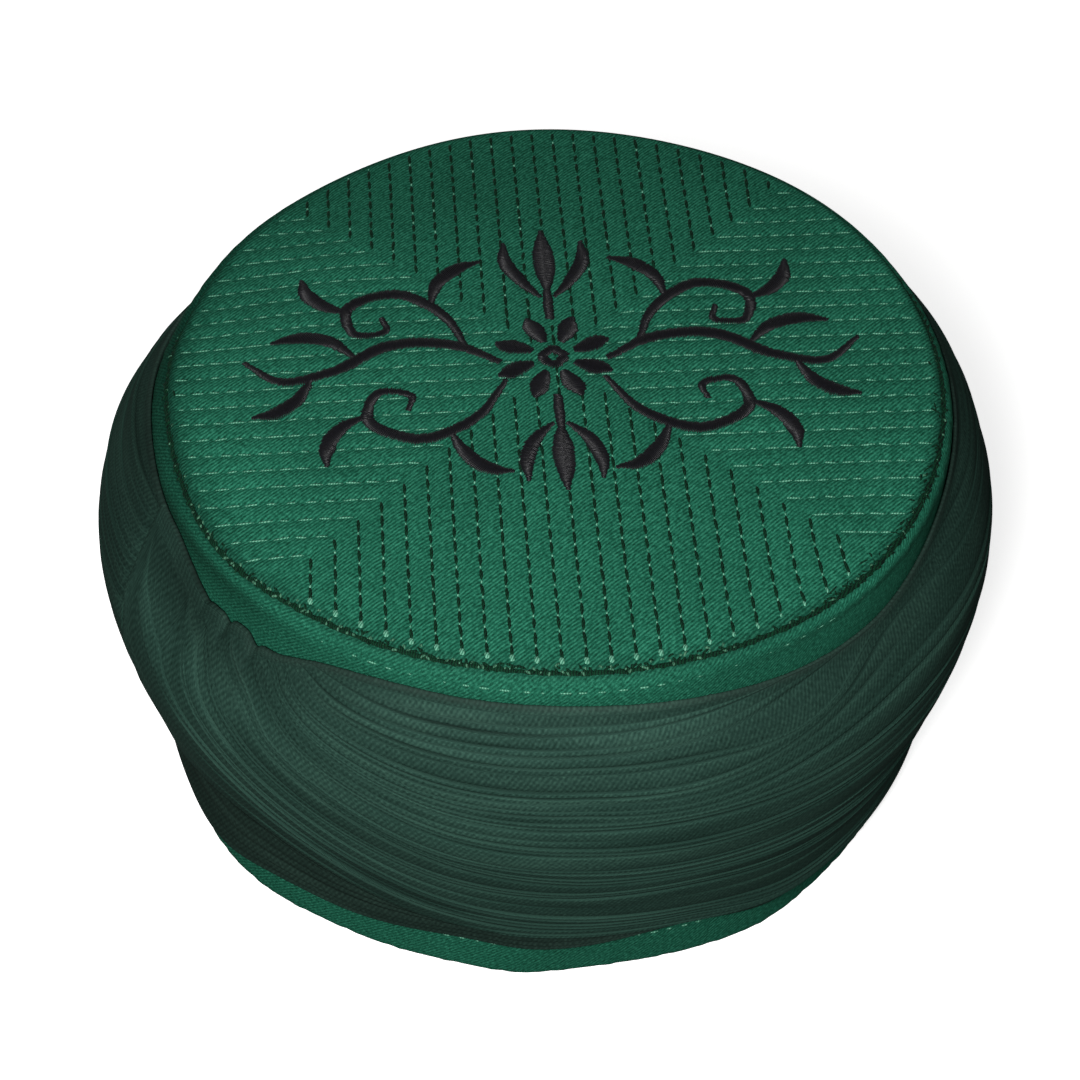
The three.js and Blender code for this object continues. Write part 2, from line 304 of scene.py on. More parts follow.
def green_twill(name, coordinate, fleck_share):
    material, tree = blank_finish(name)
    place = node(tree, "ShaderNodeTexCoord").outputs[coordinate]
    turned = node(tree, "ShaderNodeMapping", {"Vector": place, "Rotation": (0, 0, TWILL_SLANT)})
    stretched = node(tree, "ShaderNodeMapping", {"Vector": turned.outputs[0], "Scale": (1, 0.55, 1)})
    ridges = node(tree, "ShaderNodeTexWave", {
        "Vector": turned.outputs[0], "Scale": WAVE_SCALE / TWILL_PITCH, "Distortion": 0.9,
        "Detail": 1.0, "Detail Scale": 1.3, "Detail Roughness": 0.6})
    flecks = node(tree, "ShaderNodeTexNoise", {
        "Vector": stretched.outputs[0], "Scale": 1 / TWILL_FLECK, "Detail": 2.0, "Roughness": 0.7})
    wear = node(tree, "ShaderNodeTexNoise", {"Vector": place, "Scale": 1 / WEAR_PATCH, "Detail": 3.0})
    yarn = node(tree, "ShaderNodeMix", {
        "Factor": fleck_share, "A": ridges.outputs["Fac"], "B": flecks.outputs["Fac"]}, data_type="FLOAT")
    # The ramp paints the ridges' tops light and their valleys dark, as light and shade
    tone = node(tree, "ShaderNodeValToRGB", {"Fac": yarn.outputs["Result"]},
                stops=((0.28, "#0c3a2a"), (0.5, "#1b5c47"), (0.74, "#37856a")))
    shade = node(tree, "ShaderNodeMapRange", {
        "Value": wear.outputs["Fac"], "From Min": 0.3, "From Max": 0.7, "To Min": 0.9, "To Max": 1.08})
    # The shade attribute is painted shade and light, multiplied into the colour with the random wear tone
    painted_shade = node(tree, "ShaderNodeAttribute", attribute_name="shade")
    darkening = node(tree, "ShaderNodeMath", {
        0: shade.outputs["Result"], 1: painted_shade.outputs["Fac"]}, operation="MULTIPLY")
    colour = node(tree, "ShaderNodeMix", {
        "Factor": 1.0, 6: tone.outputs["Color"], 7: darkening.outputs[0]},
        data_type="RGBA", blend_type="MULTIPLY")
    dull = node(tree, "ShaderNodeMapRange", {
        "Value": flecks.outputs["Fac"], "From Min": 0.3, "From Max": 0.7, "To Min": 0.88, "To Max": 0.7})
    relief = node(tree, "ShaderNodeBump", {
        "Strength": 0.5, "Distance": 0.14 * MM, "Height": yarn.outputs["Result"]})
    cloth = node(tree, "ShaderNodeBsdfPrincipled", {
        "Base Color": colour.outputs[2], "Roughness": dull.outputs["Result"], "Normal": relief.outputs[0],
        "Specular IOR Level": 0.06, "Sheen Weight": 0.015, "Sheen Roughness": 0.5,
        "Sheen Tint": linear("#6fc79a")})
    node(tree, "ShaderNodeOutputMaterial", {"Surface": cloth.outputs[0]})
    return material


crown.data.materials.append(green_twill("green_cotton_twill_crown", "Object", 0.77))
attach(crown, "root")
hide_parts("crown_disc")


# Quilting stitches
# Machine stitches in polyester thread, pulled into the twill every 4 mm. The front and back rows are sewn
# in dark thread with the light lower thread showing at the holes, in front also drawn up into a knot at the
# end of each row, and the left and right rows in light thread.
STITCH_PERIOD = 4.0 * MM
DARK_STITCH = 3.3 * MM
LIGHT_STITCH = 3.5 * MM
HOLE_DOT = 0.7 * MM
END_KNOT = 2.6 * MM
THREAD_RADIUS = 0.3 * MM
ROW_START = 0.5 * MM
ROW_END = {"front": -0.6 * MM, "right": 0.5 * MM, "back": 0.5 * MM, "left": 0.5 * MM}
STITCH_DRIFT = 0.12 * MM
DOTS_AT_BACK = 0.14
KNOT_BEFORE_END = 0.1 * MM
SHORTEST_STITCH, LONGEST_STITCH = 0.4, 1.3


def stitch_shape(name, arch):
    """One stitch, 2 long and 2 thick at its middle: a spindle along X whose ends dive into the cloth."""
    bpy.ops.object.select_all(action="DESELECT")
    bpy.ops.mesh.primitive_uv_sphere_add(segments=5, ring_count=6, radius=1)
    stitch = bpy.context.object
    stitch.name = name
    bpy.ops.transform.rotate(value=math.radians(90), orient_axis="Y", center_override=(0, 0, 0))
    bpy.ops.object.transform_apply(location=False, rotation=True, scale=False)
    places = corners_of(stitch)
    places[:, 2] += arch * (1 - places[:, 0] ** 2)
    move_corners(stitch, places)
    return stitch


def sew(name, stitch, middles, along, up, length, width, height):
    """One mesh of copies of a stitch, each lying along a direction and standing up along another."""
    count = len(middles)
    shape = corners_of(stitch)
    across = np.cross(up, along)
    places = middles[:, None, :] + sum(
        shape[None, :, axis, None] * (np.broadcast_to(size, count)[:, None] * direction)[:, None, :] / 2
        for axis, size, direction in ((0, length, along), (1, width, across), (2, height, up)))
    faces = [list(face.vertices) for face in stitch.data.polygons]
    step = len(shape)
    mesh = bpy.data.meshes.new(name)
    mesh.from_pydata(settle(places.reshape(-1, 3)).tolist(), [],
                     [[corner + copy * step for corner in face] for copy in range(count) for face in faces])
    piece = bpy.data.objects.new(name, mesh)
    bpy.context.collection.objects.link(piece)
    bpy.ops.object.select_all(action="DESELECT")
    piece.select_set(True)
    bpy.context.view_layer.objects.active = piece
    bpy.ops.object.shade_smooth()
    return piece


flat_stitch = stitch_shape("flat_stitch", 0.5)
dice = np.random.default_rng(7)

dark_places, light_places, dot_places, knot_places = [], [], [], []
for name, along in SECTORS.items():
    across = np.array([-along[1], along[0]])
    for row in range(-QUILT_ROWS, QUILT_ROWS + 1):
        offset = row * QUILT_PITCH
        start = QUILT_CENTRE + offset * across
        end = quilt_reach(start, along) + ROW_END[name]
        begin = abs(offset) + ROW_START
        count = max(round((end - begin) / STITCH_PERIOD), 1)
        period = (end - begin) / count
        for middle in begin + (np.arange(count) + 0.5) * period:
            spot = (start + (middle + dice.normal(0, STITCH_DRIFT)) * along, along)
            if name in ("front", "back"):
                dark_places.append(spot)
                if name == "front" or dice.uniform() < DOTS_AT_BACK:
                    dot_places.append((start + (middle + period / 2) * along, along))
            else:
                light_places.append(spot)
        if name == "front":
            knot_places.append((start + (end - KNOT_BEFORE_END) * along, along))


def sew_quilting(name, spots, length, width, height, sink, uneven=0.1):
    """Stitches pulled into the crown at the spots, each a little uneven in depth, direction and length."""
    plan = np.array([spot[0] for spot in spots])
    ahead = np.array([spot[1] for spot in spots])
    level = crown_top(plan[:, 0], plan[:, 1]) - sink * dice.uniform(1 - uneven, 1 + uneven, len(spots))
    middles = np.column_stack([plan, level])
    along = np.column_stack([ahead, np.zeros(len(spots))])
    turn = dice.normal(0, 0.5 * uneven, len(spots))
    along = along + np.column_stack([-along[:, 1] * turn, along[:, 0] * turn, np.zeros(len(spots))])
    up = np.tile([0.0, 0.0, 1.0], (len(spots), 1))
    lengths = length * np.clip(dice.normal(1, uneven, len(spots)), SHORTEST_STITCH, LONGEST_STITCH)
    return sew(name, flat_stitch, middles, along, up, lengths, width, height)


dark_quilting = sew_quilting("quilting_dark_stitches", dark_places, DARK_STITCH,
                             2.9 * THREAD_RADIUS, 2.0 * THREAD_RADIUS, 0.0)
light_quilting = sew_quilting("quilting_light_stitches", light_places, LIGHT_STITCH,
                              2.0 * THREAD_RADIUS, 1.5 * THREAD_RADIUS, 0.11 * MM, 0.24)
hole_dots = sew_quilting("quilting_hole_dots", dot_places, HOLE_DOT,
                         1.7 * THREAD_RADIUS, 1.6 * THREAD_RADIUS, 0.03 * MM)

# The knots get smaller towards the right
KNOT_LOSS = 0.5
LOSS_FROM, LOSS_FULL = 12 * MM, 45 * MM
knot_x = np.array([spot[0][0] for spot in knot_places])
drawn_up = 1 - KNOT_LOSS * smoothstep(knot_x, LOSS_FROM, LOSS_FULL)
end_knots = sew_quilting("quilting_end_knots", knot_places, END_KNOT * drawn_up,
                         4.6 * THREAD_RADIUS * drawn_up, 2.2 * THREAD_RADIUS, 0.08 * MM)


# Spun polyester thread: two plies twisted at a slant, the top of each turn painted lighter as a soft painted
# gloss, with loose hairs between them
PLY_PITCH = 0.5 * MM
HAIR_LENGTH = 1.4 * MM


def spun_thread(name, dark, light, roughness):
    material, tree = blank_finish(name)
    place = node(tree, "ShaderNodeTexCoord").outputs["Object"]
    turned = node(tree, "ShaderNodeMapping", {
        "Vector": place, "Rotation": (math.radians(20), math.radians(15), math.radians(35))})
    plies = node(tree, "ShaderNodeTexWave", {
        "Vector": turned.outputs[0], "Scale": WAVE_SCALE / PLY_PITCH, "Distortion": 2.0, "Detail": 1.0})
    hairs = node(tree, "ShaderNodeTexNoise", {"Vector": place, "Scale": 1 / HAIR_LENGTH, "Detail": 3.0})
    mixed = node(tree, "ShaderNodeMix", {
        "Factor": 0.5, "A": plies.outputs["Fac"], "B": hairs.outputs["Fac"]}, data_type="FLOAT")
    tone = node(tree, "ShaderNodeValToRGB", {"Fac": mixed.outputs["Result"]},
                stops=((0.25, dark), (0.8, light)))
    relief = node(tree, "ShaderNodeBump", {
        "Strength": 0.4, "Distance": 0.08 * MM, "Height": plies.outputs["Fac"]})
    fibre = node(tree, "ShaderNodeBsdfPrincipled", {
        "Base Color": tone.outputs["Color"], "Roughness": roughness, "Normal": relief.outputs[0],
        "Specular IOR Level": 0.12, "Sheen Weight": 0.02, "Sheen Roughness": 0.4})
    node(tree, "ShaderNodeOutputMaterial", {"Surface": fibre.outputs[0]})
    return material


dark_thread = spun_thread("dark_green_polyester_thread", "#01140d", "#07341f", 0.85)
light_thread = spun_thread("pale_green_polyester_thread", "#2c6a52", "#74b096", 0.8)
for stitches, thread, slot in (
        (dark_quilting, dark_thread, "dark_thread"),
        (light_quilting, light_thread, "light_thread"),
        (hole_dots, light_thread, "light_thread"),
        (end_knots, light_thread, "light_thread")):
    stitches.data.materials.append(thread)
    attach(stitches, "root")


# Embroidered ornament
# A plain flower with scrolling stems and leaves in black rayon satin stitch, sewn through the quilted
# crown. Each thread crosses its stem from edge to edge, raised in the middle, so the stems have ribbed,
# glossy backs.
ORNAMENT_CENTRE = np.array([0.5, 4.0]) * MM
SATIN_SPACING = 0.36 * MM
SATIN_SLANT = math.radians(14)
SATIN_THREAD = 0.5 * MM
SATIN_UNEVEN = 0.09 * MM
SATIN_TILT = 0.02
SATIN_SINK = 0.1 * MM
SATIN_LEAST_RAISED = 0.3 * MM
SATIN_RAISED_SHARE = 0.16
SATIN_FULL_WIDTH = 3 * MM
LEAST_STEM_WIDTH = 0.5

# Each stem or leaf: places along its middle line and its width at each, in millimetres from the centre.
# Those on the right are mirrored to the left; the others stand on the middle line.
SIDE_STEMS = [
    ([(12, -1), (22, 5), (36, 6), (50, -2), (61, -4), (69, 3)], [1.4, 2.8, 3.2, 2.8, 2.2, 0.9]),
    ([(19, 3), (24, 15), (35, 23), (46, 18), (44, 10), (37, 11), (38, 15)],
     [1.0, 2.4, 3.0, 2.6, 2.0, 1.5, 1.0]),
    ([(11, -7), (18, -18), (31, -24), (42, -17), (39, -9), (32, -11), (33, -15)],
     [1.0, 2.4, 3.0, 2.6, 2.0, 1.5, 1.0]),
    ([(44, 2), (50, 8), (57, 10), (63, 9)], [0.6, 3.4, 3.6, 0.6]),
    ([(54, -3.5), (57, -10), (62, -14), (67, -15)], [0.6, 3.2, 3.6, 0.6]),
    ([(27, 18), (25, 26), (20, 31), (15, 33)], [0.6, 3.2, 3.4, 0.6]),
    ([(24, -22), (21, -29), (16, -34), (11, -35)], [0.6, 3.2, 3.4, 0.6]),
    ([(45, 17), (51, 20), (55, 25), (56, 30)], [0.6, 3.2, 3.4, 0.6]),
    ([(42, -16), (48, -20), (51, -26), (51, -31)], [0.6, 3.2, 3.4, 0.6]),
    ([(1.6, 20), (6, 26), (9, 33), (9, 39)], [0.8, 3.0, 3.2, 0.6]),
    ([(1.6, -21), (6, -26), (8, -32), (8, -38)], [0.8, 3.0, 3.2, 0.6]),
]
MIDDLE_STEMS = [
    ([(0, 12.5), (0, 17), (0, 22)], [1.8, 2.2, 1.6]),
    ([(0, 22), (0, 28), (0, 35), (0, 43)], [1.0, 4.6, 5.0, 0.6]),
    ([(0, -12.5), (0, -17), (0, -22)], [1.8, 2.2, 1.6]),
    ([(0, -22), (0, -27), (0, -33), (0, -41)], [1.0, 4.4, 4.8, 0.6]),
]
PETALS = 8
PETAL = ([(5.2, 0), (8, 0), (11, 0), (13.6, 0)], [1.6, 4.0, 4.4, 0.8])
EYE = ([(2.6, 0), (0, 2.6), (-2.6, 0), (0, -2.6), (2.6, 0)], [2.2, 2.2, 2.2, 2.2, 2.2])


def through(stations, values, places):
    """A smooth curve through the values at the stations, read at the places."""
    slopes = np.gradient(values, stations, axis=0)
    cell = np.clip(np.searchsorted(stations, places) - 1, 0, len(stations) - 2)
    span = stations[cell + 1] - stations[cell]
    share = (places - stations[cell]) / span
    if values.ndim > 1:
        span = span[:, None]
        share = share[:, None]
    back = 1 - share
    return (values[cell] * back * back * (1 + 2 * share) + values[cell + 1] * share * share * (1 + 2 * back)
            + span * share * back * (slopes[cell] * back - slopes[cell + 1] * share))


def satin(middle_line, widths):
    """Middles, directions and lengths of the threads that cross one stem."""
    points = np.array(middle_line, dtype=float)
    stations = np.concatenate([[0], np.cumsum(np.hypot(*np.diff(points, axis=0).T))])
    count = max(int(stations[-1] * MM / SATIN_SPACING), 4)
    places = np.linspace(0, stations[-1], count)
    plan = through(stations, points, places)
    width = np.maximum(through(stations, np.array(widths, dtype=float), places), LEAST_STEM_WIDTH)
    ahead = np.gradient(plan, axis=0)
    ahead /= np.hypot(ahead[:, 0], ahead[:, 1])[:, None]
    across = np.column_stack([-ahead[:, 1], ahead[:, 0]])
    across = across * math.cos(SATIN_SLANT) + ahead * math.sin(SATIN_SLANT)
    return plan, across, width


threads = []
for middle_line, widths in SIDE_STEMS:
    threads.append(satin(middle_line, widths))
    threads.append(satin([(-x, y) for x, y in middle_line], widths))
for middle_line, widths in MIDDLE_STEMS + [EYE]:
    threads.append(satin(middle_line, widths))
for petal in range(PETALS):
    turn = math.radians(360 * (petal + 0.5) / PETALS)
    spun = [(x * math.cos(turn), x * math.sin(turn)) for x, _ in PETAL[0]]
    threads.append(satin(spun, PETAL[1]))
plan = np.concatenate([thread[0] for thread in threads]) * MM + ORNAMENT_CENTRE
across = np.concatenate([thread[1] for thread in threads])
width = np.concatenate([thread[2] for thread in threads]) * MM
plan = plan + across * dice.normal(0, SATIN_UNEVEN, len(plan))[:, None]
dome = CROWN_RISE * (1 - np.sum(plan * plan, axis=1) / BORDER_RADIUS ** 2)
arched_thread = stitch_shape("satin_thread", 1.0)
raised = SATIN_LEAST_RAISED + SATIN_RAISED_SHARE * np.minimum(width, SATIN_FULL_WIDTH)
ornament = sew("crown_ornament_satin_stitch", arched_thread,
               np.column_stack([plan, CAP_HEIGHT + dome - SATIN_SINK]),
               np.column_stack([across, dice.normal(0, SATIN_TILT, len(plan))]),
               np.tile([0.0, 0.0, 1.0], (len(plan), 1)),
               width + SATIN_THREAD, SATIN_THREAD, raised)


# Black rayon: filament yarn that lies flat, so it is glossy across the threads and shows a cool grey light
FILAMENT_BUNDLE = 0.6 * MM
satin_black, tree = blank_finish("black_rayon_embroidery_thread")
place = node(tree, "ShaderNodeTexCoord").outputs["Object"]
filaments = node(tree, "ShaderNodeTexNoise", {"Vector": place, "Scale": 1 / FILAMENT_BUNDLE, "Detail": 4.0})
tone = node(tree, "ShaderNodeValToRGB", {"Fac": filaments.outputs["Fac"]},
            stops=((0.3, "#050608"), (0.75, "#15141a")))
gloss = node(tree, "ShaderNodeMapRange", {
    "Value": filaments.outputs["Fac"], "From Min": 0.3, "From Max": 0.7, "To Min": 0.5, "To Max": 0.36})
relief = node(tree, "ShaderNodeBump", {
    "Strength": 0.3, "Distance": 0.06 * MM, "Height": filaments.outputs["Fac"]})
rayon = node(tree, "ShaderNodeBsdfPrincipled", {
    "Base Color": tone.outputs["Color"], "Roughness": gloss.outputs["Result"], "Normal": relief.outputs[0],
    "Specular IOR Level": 0.3, "Sheen Weight": 0.03})
node(tree, "ShaderNodeOutputMaterial", {"Surface": rayon.outputs[0]})
ornament.data.materials.append(satin_black)
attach(ornament, "root")


# Side wall
# The standing wall: the same twill over a stiff layer, cut as one band and closed into a slight taper. Its
# upper edge turns in over a rounded shoulder to the crown seam, and its lower edge is hemmed at the rim.
RIM_RADIUS = 92.5 * MM
SHOULDER_RADIUS = 89.4 * MM
SHOULDER_DROP = 7 * MM
WALL_THICKNESS = 2.2 * MM
PIECE_GAP = 0.3 * MM
RIM_ROUND = 0.4 * MM
WALL_TURNS = 432
WALL_HEIGHTS_OUTSIDE = np.array([1.5, 3, 5, 7, 9, 11, 14, 18, 30, 50, 70, 82, 87]) * MM
WALL_HEIGHTS_INSIDE = np.array([60, 30, 12]) * MM
SHOULDER_STEPS = 12
LIP_RADIUS = SEAM_RADIUS + PIECE_GAP
LIP_TUCK = 0.4 * MM
LIP_TUCK_DROP = 1.6 * MM
SHOULDER_HEIGHT = CAP_HEIGHT - SHOULDER_DROP


def wall_outside(height):
    return RIM_RADIUS + (SHOULDER_RADIUS - RIM_RADIUS) * height / SHOULDER_HEIGHT


def shoulder_point(share):
    """Radius and height on the rounded shoulder, from its foot (0) to the crown seam (1)."""
    bend = math.radians(90) * share
    return (LIP_RADIUS + (SHOULDER_RADIUS - LIP_RADIUS) * math.cos(bend),
            SHOULDER_HEIGHT + (SHOULDER_DROP - BORDER_DROP) * math.sin(bend))


def spin_round(name, section, turns):
    """A closed section of radii and heights, spun round the cap's axis."""
    bpy.ops.object.select_all(action="DESELECT")
    bpy.ops.mesh.primitive_circle_add(vertices=len(section), radius=1, fill_type="NOTHING")
    piece = bpy.context.object
    piece.name = name
    move_corners(piece, np.array([(radius, 0, height) for radius, height in section]))
    bpy.ops.object.mode_set(mode="EDIT")
    bpy.ops.mesh.select_all(action="SELECT")
    bpy.ops.mesh.spin(steps=turns, angle=2 * math.pi, center=(0, 0, 0), axis=(0, 0, 1))
    bpy.ops.object.mode_set(mode="OBJECT")
    close_seams(piece)
    return piece


rounded_off = 0.3 * RIM_ROUND
outside = [(RIM_RADIUS - RIM_ROUND, 0), (RIM_RADIUS - rounded_off, rounded_off), (RIM_RADIUS, RIM_ROUND)]
outside += [(wall_outside(height), height) for height in WALL_HEIGHTS_OUTSIDE]
outside += [shoulder_point(step / SHOULDER_STEPS) for step in range(SHOULDER_STEPS + 1)]
inside = [(LIP_RADIUS - LIP_TUCK, CAP_HEIGHT - LIP_TUCK_DROP), (LIP_RADIUS, CAP_HEIGHT - CROWN_THICKNESS)]
inside += [(SHOULDER_RADIUS - WALL_THICKNESS, SHOULDER_HEIGHT - WALL_THICKNESS)]
inside += [(wall_outside(height) - WALL_THICKNESS, height) for height in WALL_HEIGHTS_INSIDE]
inside += [(RIM_RADIUS - WALL_THICKNESS, RIM_ROUND), (RIM_RADIUS - WALL_THICKNESS + RIM_ROUND, 0)]
wall = spin_round("side_wall_hemmed", outside + inside, WALL_TURNS)


WOBBLE_RADIUS = 90 * MM


def wobble(angles, lengths, seed):
    """An even, seeded unevenness round the cap, from -1 to 1, with waves of about the given lengths."""
    waves = np.random.default_rng(seed)
    total = np.zeros_like(angles)
    for length in lengths:
        turns = max(round(2 * math.pi * WOBBLE_RADIUS / length), 1)
        wave = np.sin(np.radians(angles) * turns + waves.uniform(0, 2 * math.pi))
        total += wave * waves.uniform(0.6, 1.0)
    return total / len(lengths)


# The hem and the shoulder pucker a little at their stitches
HEM_PUCKER = 0.26 * MM
HEM_PUCKER_WAVES = (3.6 * MM, 5.2 * MM, 9 * MM, 23 * MM)
SHOULDER_PUCKER = 0.16 * MM
SHOULDER_PUCKER_WAVES = (4.6 * MM, 6.1 * MM, 11 * MM)
places = corners_of(wall)
angles, radius = about_axis(places)
height = places[:, 2]
outer = radius > wall_outside(height) - 0.6 * WALL_THICKNESS
hem = outer * (1 - smoothstep(height, 4 * MM, 12 * MM))
shoulder = outer * smoothstep(height, SHOULDER_HEIGHT - 3 * MM, SHOULDER_HEIGHT + 2 * MM) * (
    1 - smoothstep(height, CAP_HEIGHT - 3 * MM, CAP_HEIGHT - 1 * MM))
push = (hem * HEM_PUCKER * wobble(angles, HEM_PUCKER_WAVES, 3)
        + shoulder * SHOULDER_PUCKER * wobble(angles, SHOULDER_PUCKER_WAVES, 4))
places[:, :2] *= (1 + push / radius)[:, None]

# The twill runs round the wall, so its map is unrolled: the way round at the rim and the way up the outside
girth = 2 * math.pi * RIM_RADIUS
along = (angles % 360) / 360 * girth
outside = np.array(outside)
climbed = np.concatenate([[0], np.cumsum(np.hypot(*np.diff(outside, axis=0).T))])
upwards = np.interp(height, outside[:, 1], climbed)
corner = np.empty(len(wall.data.loops), dtype=np.int32)
wall.data.loops.foreach_get("vertex_index", corner)
round_wall = along[corner].reshape(-1, 4)
round_wall = round_wall + girth * (round_wall < round_wall.max(axis=1, keepdims=True) - girth / 2)
cloth_map = wall.data.uv_layers[0]
cloth_map.data.foreach_set("uv", np.column_stack([round_wall.ravel(), upwards[corner]]).ravel())

# The wall is duller than the crown. Painted light and shade make its shoulder darker on the left and lighter
# at the right front, and painted shade darkens it where it rolls into the seam and behind the pleats that
# stand away from it
WALL_SHADE = 0.82
SHOULDER_SHADE_AND_LIGHT = [(178, 34, 0.4), (-30, 28, -0.5)]
SHADOW_BEHIND_PLEATS = [(-150, 18, 0.3)]
high_up = smoothstep(height, SHOULDER_HEIGHT - 8 * MM, SHOULDER_HEIGHT)
rolled_in = high_up * (1 - smoothstep(radius, SEAM_RADIUS + 0.4 * MM, SEAM_RADIUS + 2.2 * MM))
sheltered = high_up * (1 - smoothstep(height, SHOULDER_HEIGHT - 1 * MM, SHOULDER_HEIGHT + 4 * MM))
shades = WALL_SHADE - high_up * bumps(angles, SHOULDER_SHADE_AND_LIGHT) - sheltered * bumps(angles, SHADOW_BEHIND_PLEATS)
shade_corners(wall, shades * (1 - ROLL_SHADE * rolled_in))
move_corners(wall, settle(places))
wall.data.materials.append(green_twill("green_cotton_twill_wall", "UV", 0.85))
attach(wall, "root")
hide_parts("side_wall")


# Seam and edge stitches
# The crown and the wall are joined edge to edge over a thin dark green cord, overcast unevenly by machine,
# with a paler lower thread drawn up among the dark and looser stitches on the right. A row of light stitches
# holds the turned-in shoulder, and another holds the hem above the rim.
SEAM_CORD = 0.7 * MM
CORD_RADIUS = SEAM_RADIUS + 0.15 * MM
CORD_HEIGHT = CAP_HEIGHT - 1.4 * MM
CORD_TWIST = 2.1 * MM
CORD_PLY = 0.14
CORD_UNEVEN = 0.3
CORD_UNEVEN_WAVES = (2.3 * MM, 4 * MM, 9 * MM)
CORD_TURNS = 1032
CORD_SIDES = 8
CORD_TUCKED_SHARE = 0.6
SEAM_STITCH = 2.5 * MM
SEAM_SUNK = 0.95 * MM
SEAM_CLIMB = 0.55
SEAM_INMOST = 1.6 * MM
SEAM_OUTMOST = 0.5 * MM
SEAM_TUCKED_IN = [(45, 36, 1.0 * MM), (95, 30, 0.6 * MM), (142, 30, 1.1 * MM)]
SHOULDER_STITCH = 2.4 * MM
SHOULDER_PERIOD = 4.0 * MM
SHOULDER_ROW = 0.32
SHOULDER_ROW_SLOPE = math.radians(20)
SHOULDER_ROW_SUNK = [(-15, 40, 0.3 * MM), (178, 42, 0.45 * MM)]
HEM_STITCH = 2.0 * MM
HEM_PERIOD = 3.6 * MM
HEM_ROW = 9.8 * MM


def ring_places(radius, height, spacing, spread):
    """Angles, middles and outward and forward directions of stitches spaced along a ring."""
    count = round(2 * math.pi * radius / spacing)
    angles = np.arange(count) * 360 / count + dice.normal(0, spread, count)
    turn = np.radians(angles)
    out = np.column_stack([np.cos(turn), np.sin(turn), np.zeros(count)])
    ahead = np.column_stack([-np.sin(turn), np.cos(turn), np.zeros(count)])
    return angles, out * radius + np.array([0, 0, height]), out, ahead


bends = np.arange(CORD_SIDES) * 2 * math.pi / CORD_SIDES
section = [(CORD_RADIUS - SEAM_CORD * math.sin(bend), SEAM_CORD * math.cos(bend)) for bend in bends]
seam_cord = spin_round("crown_seam_cord", section, CORD_TURNS)
places = corners_of(seam_cord)
angles, radius = about_axis(places)
round_cord = np.arctan2(places[:, 2], radius - CORD_RADIUS)
twists = round(2 * math.pi * SEAM_RADIUS / CORD_TWIST)
plies = np.sin(2 * round_cord + twists * np.radians(angles))
swell = 1 + CORD_PLY * plies + CORD_UNEVEN * wobble(angles, CORD_UNEVEN_WAVES, 6)
places[:, :2] *= ((CORD_RADIUS + SEAM_CORD * swell * np.cos(round_cord)) / radius)[:, None]
places[:, 2] = CORD_HEIGHT + SEAM_CORD * swell * np.sin(round_cord)
places[:, 2] -= CORD_TUCKED_SHARE * bumps(angles, SEAM_TUCKED_IN)
move_corners(seam_cord, settle(places))

UPWARDS = np.array([0.0, 0.0, 1.0])


def sew_seam(name, spacing, inwards, astray, lean, length, width, chosen=None):
    """Uneven stitches over the seam. Each strays from its ring and leans across it: by how many radians,
    how unevenly, and what share of them the other way."""
    angles, middles, out, ahead = ring_places(SEAM_RADIUS, CAP_HEIGHT, spacing, 0.4)
    if chosen is not None:
        kept = chosen(angles)
        angles, middles, out, ahead = angles[kept], middles[kept], out[kept], ahead[kept]
    count = len(middles)
    stray = np.minimum(dice.normal(-inwards, astray, count), SEAM_OUTMOST)
    sunk = SEAM_SUNK + bumps(angles, SEAM_TUCKED_IN) - SEAM_CLIMB * np.clip(-stray, 0, SEAM_INMOST)
    middles = middles + out * stray[:, None] - UPWARDS * sunk[:, None]
    slant = dice.normal(lean[0], lean[1], count) * np.where(dice.uniform(0, 1, count) < lean[2], -1, 1)
    along = ahead * np.cos(slant)[:, None] + out * np.sin(slant)[:, None]
    return sew(name, flat_stitch, middles, along, np.tile(UPWARDS, (count, 1)),
               length * dice.uniform(0.5, 1.25, count), width, width)


def loose_places(angles):
    """On the right."""
    return np.abs(turned_from(angles, -14)) < 40


def pale_places(angles):
    """At the left front, and every fourth stitch elsewhere."""
    return (np.abs(turned_from(angles, -112)) < 44) | (np.arange(len(angles)) % 4 == 0)


seam_dark = sew_seam("crown_seam_overcast", 0.9 * MM, 0.05 * MM, 0.5 * MM, (0.4, 0.35, 0.2), SEAM_STITCH,
                     0.66 * MM)
seam_light = sew_seam("crown_seam_lower_thread", 1.5 * MM, 0.1 * MM, 0.6 * MM, (0.6, 0.5, 0.3), 1.3 * MM,
                      0.65 * MM, pale_places)
seam_loose = sew_seam("crown_seam_loose_stitches", 1.0 * MM, 0.8 * MM, 0.6 * MM, (0.5, 0.45, 0.5), 2.4 * MM,
                      0.42 * MM, loose_places)

radius, height = shoulder_point(SHOULDER_ROW)
angles, middles, out, ahead = ring_places(radius, height, SHOULDER_PERIOD, 0.2)
slope = np.array([0, 0, math.sin(SHOULDER_ROW_SLOPE)]) + out * math.cos(SHOULDER_ROW_SLOPE)
sunk = dice.uniform(0.02 * MM, 0.2 * MM, len(angles)) + bumps(angles, SHOULDER_ROW_SUNK)
middles = middles - slope * sunk[:, None]
shoulder_row = sew("shoulder_light_stitches", flat_stitch, middles, ahead, slope,
                   SHOULDER_STITCH * dice.uniform(0.4, 1.1, len(angles)), 0.42 * MM, 0.35 * MM)

angles, middles, out, ahead = ring_places(wall_outside(HEM_ROW), HEM_ROW, HEM_PERIOD, 0.15)
middles = middles - out * dice.uniform(0.0, 0.15 * MM, len(angles))[:, None]
hem_row = sew("hem_light_stitches", flat_stitch, middles, ahead, out,
              HEM_STITCH * dice.uniform(0.4, 1.1, len(angles)), 0.4 * MM, 0.4 * MM)

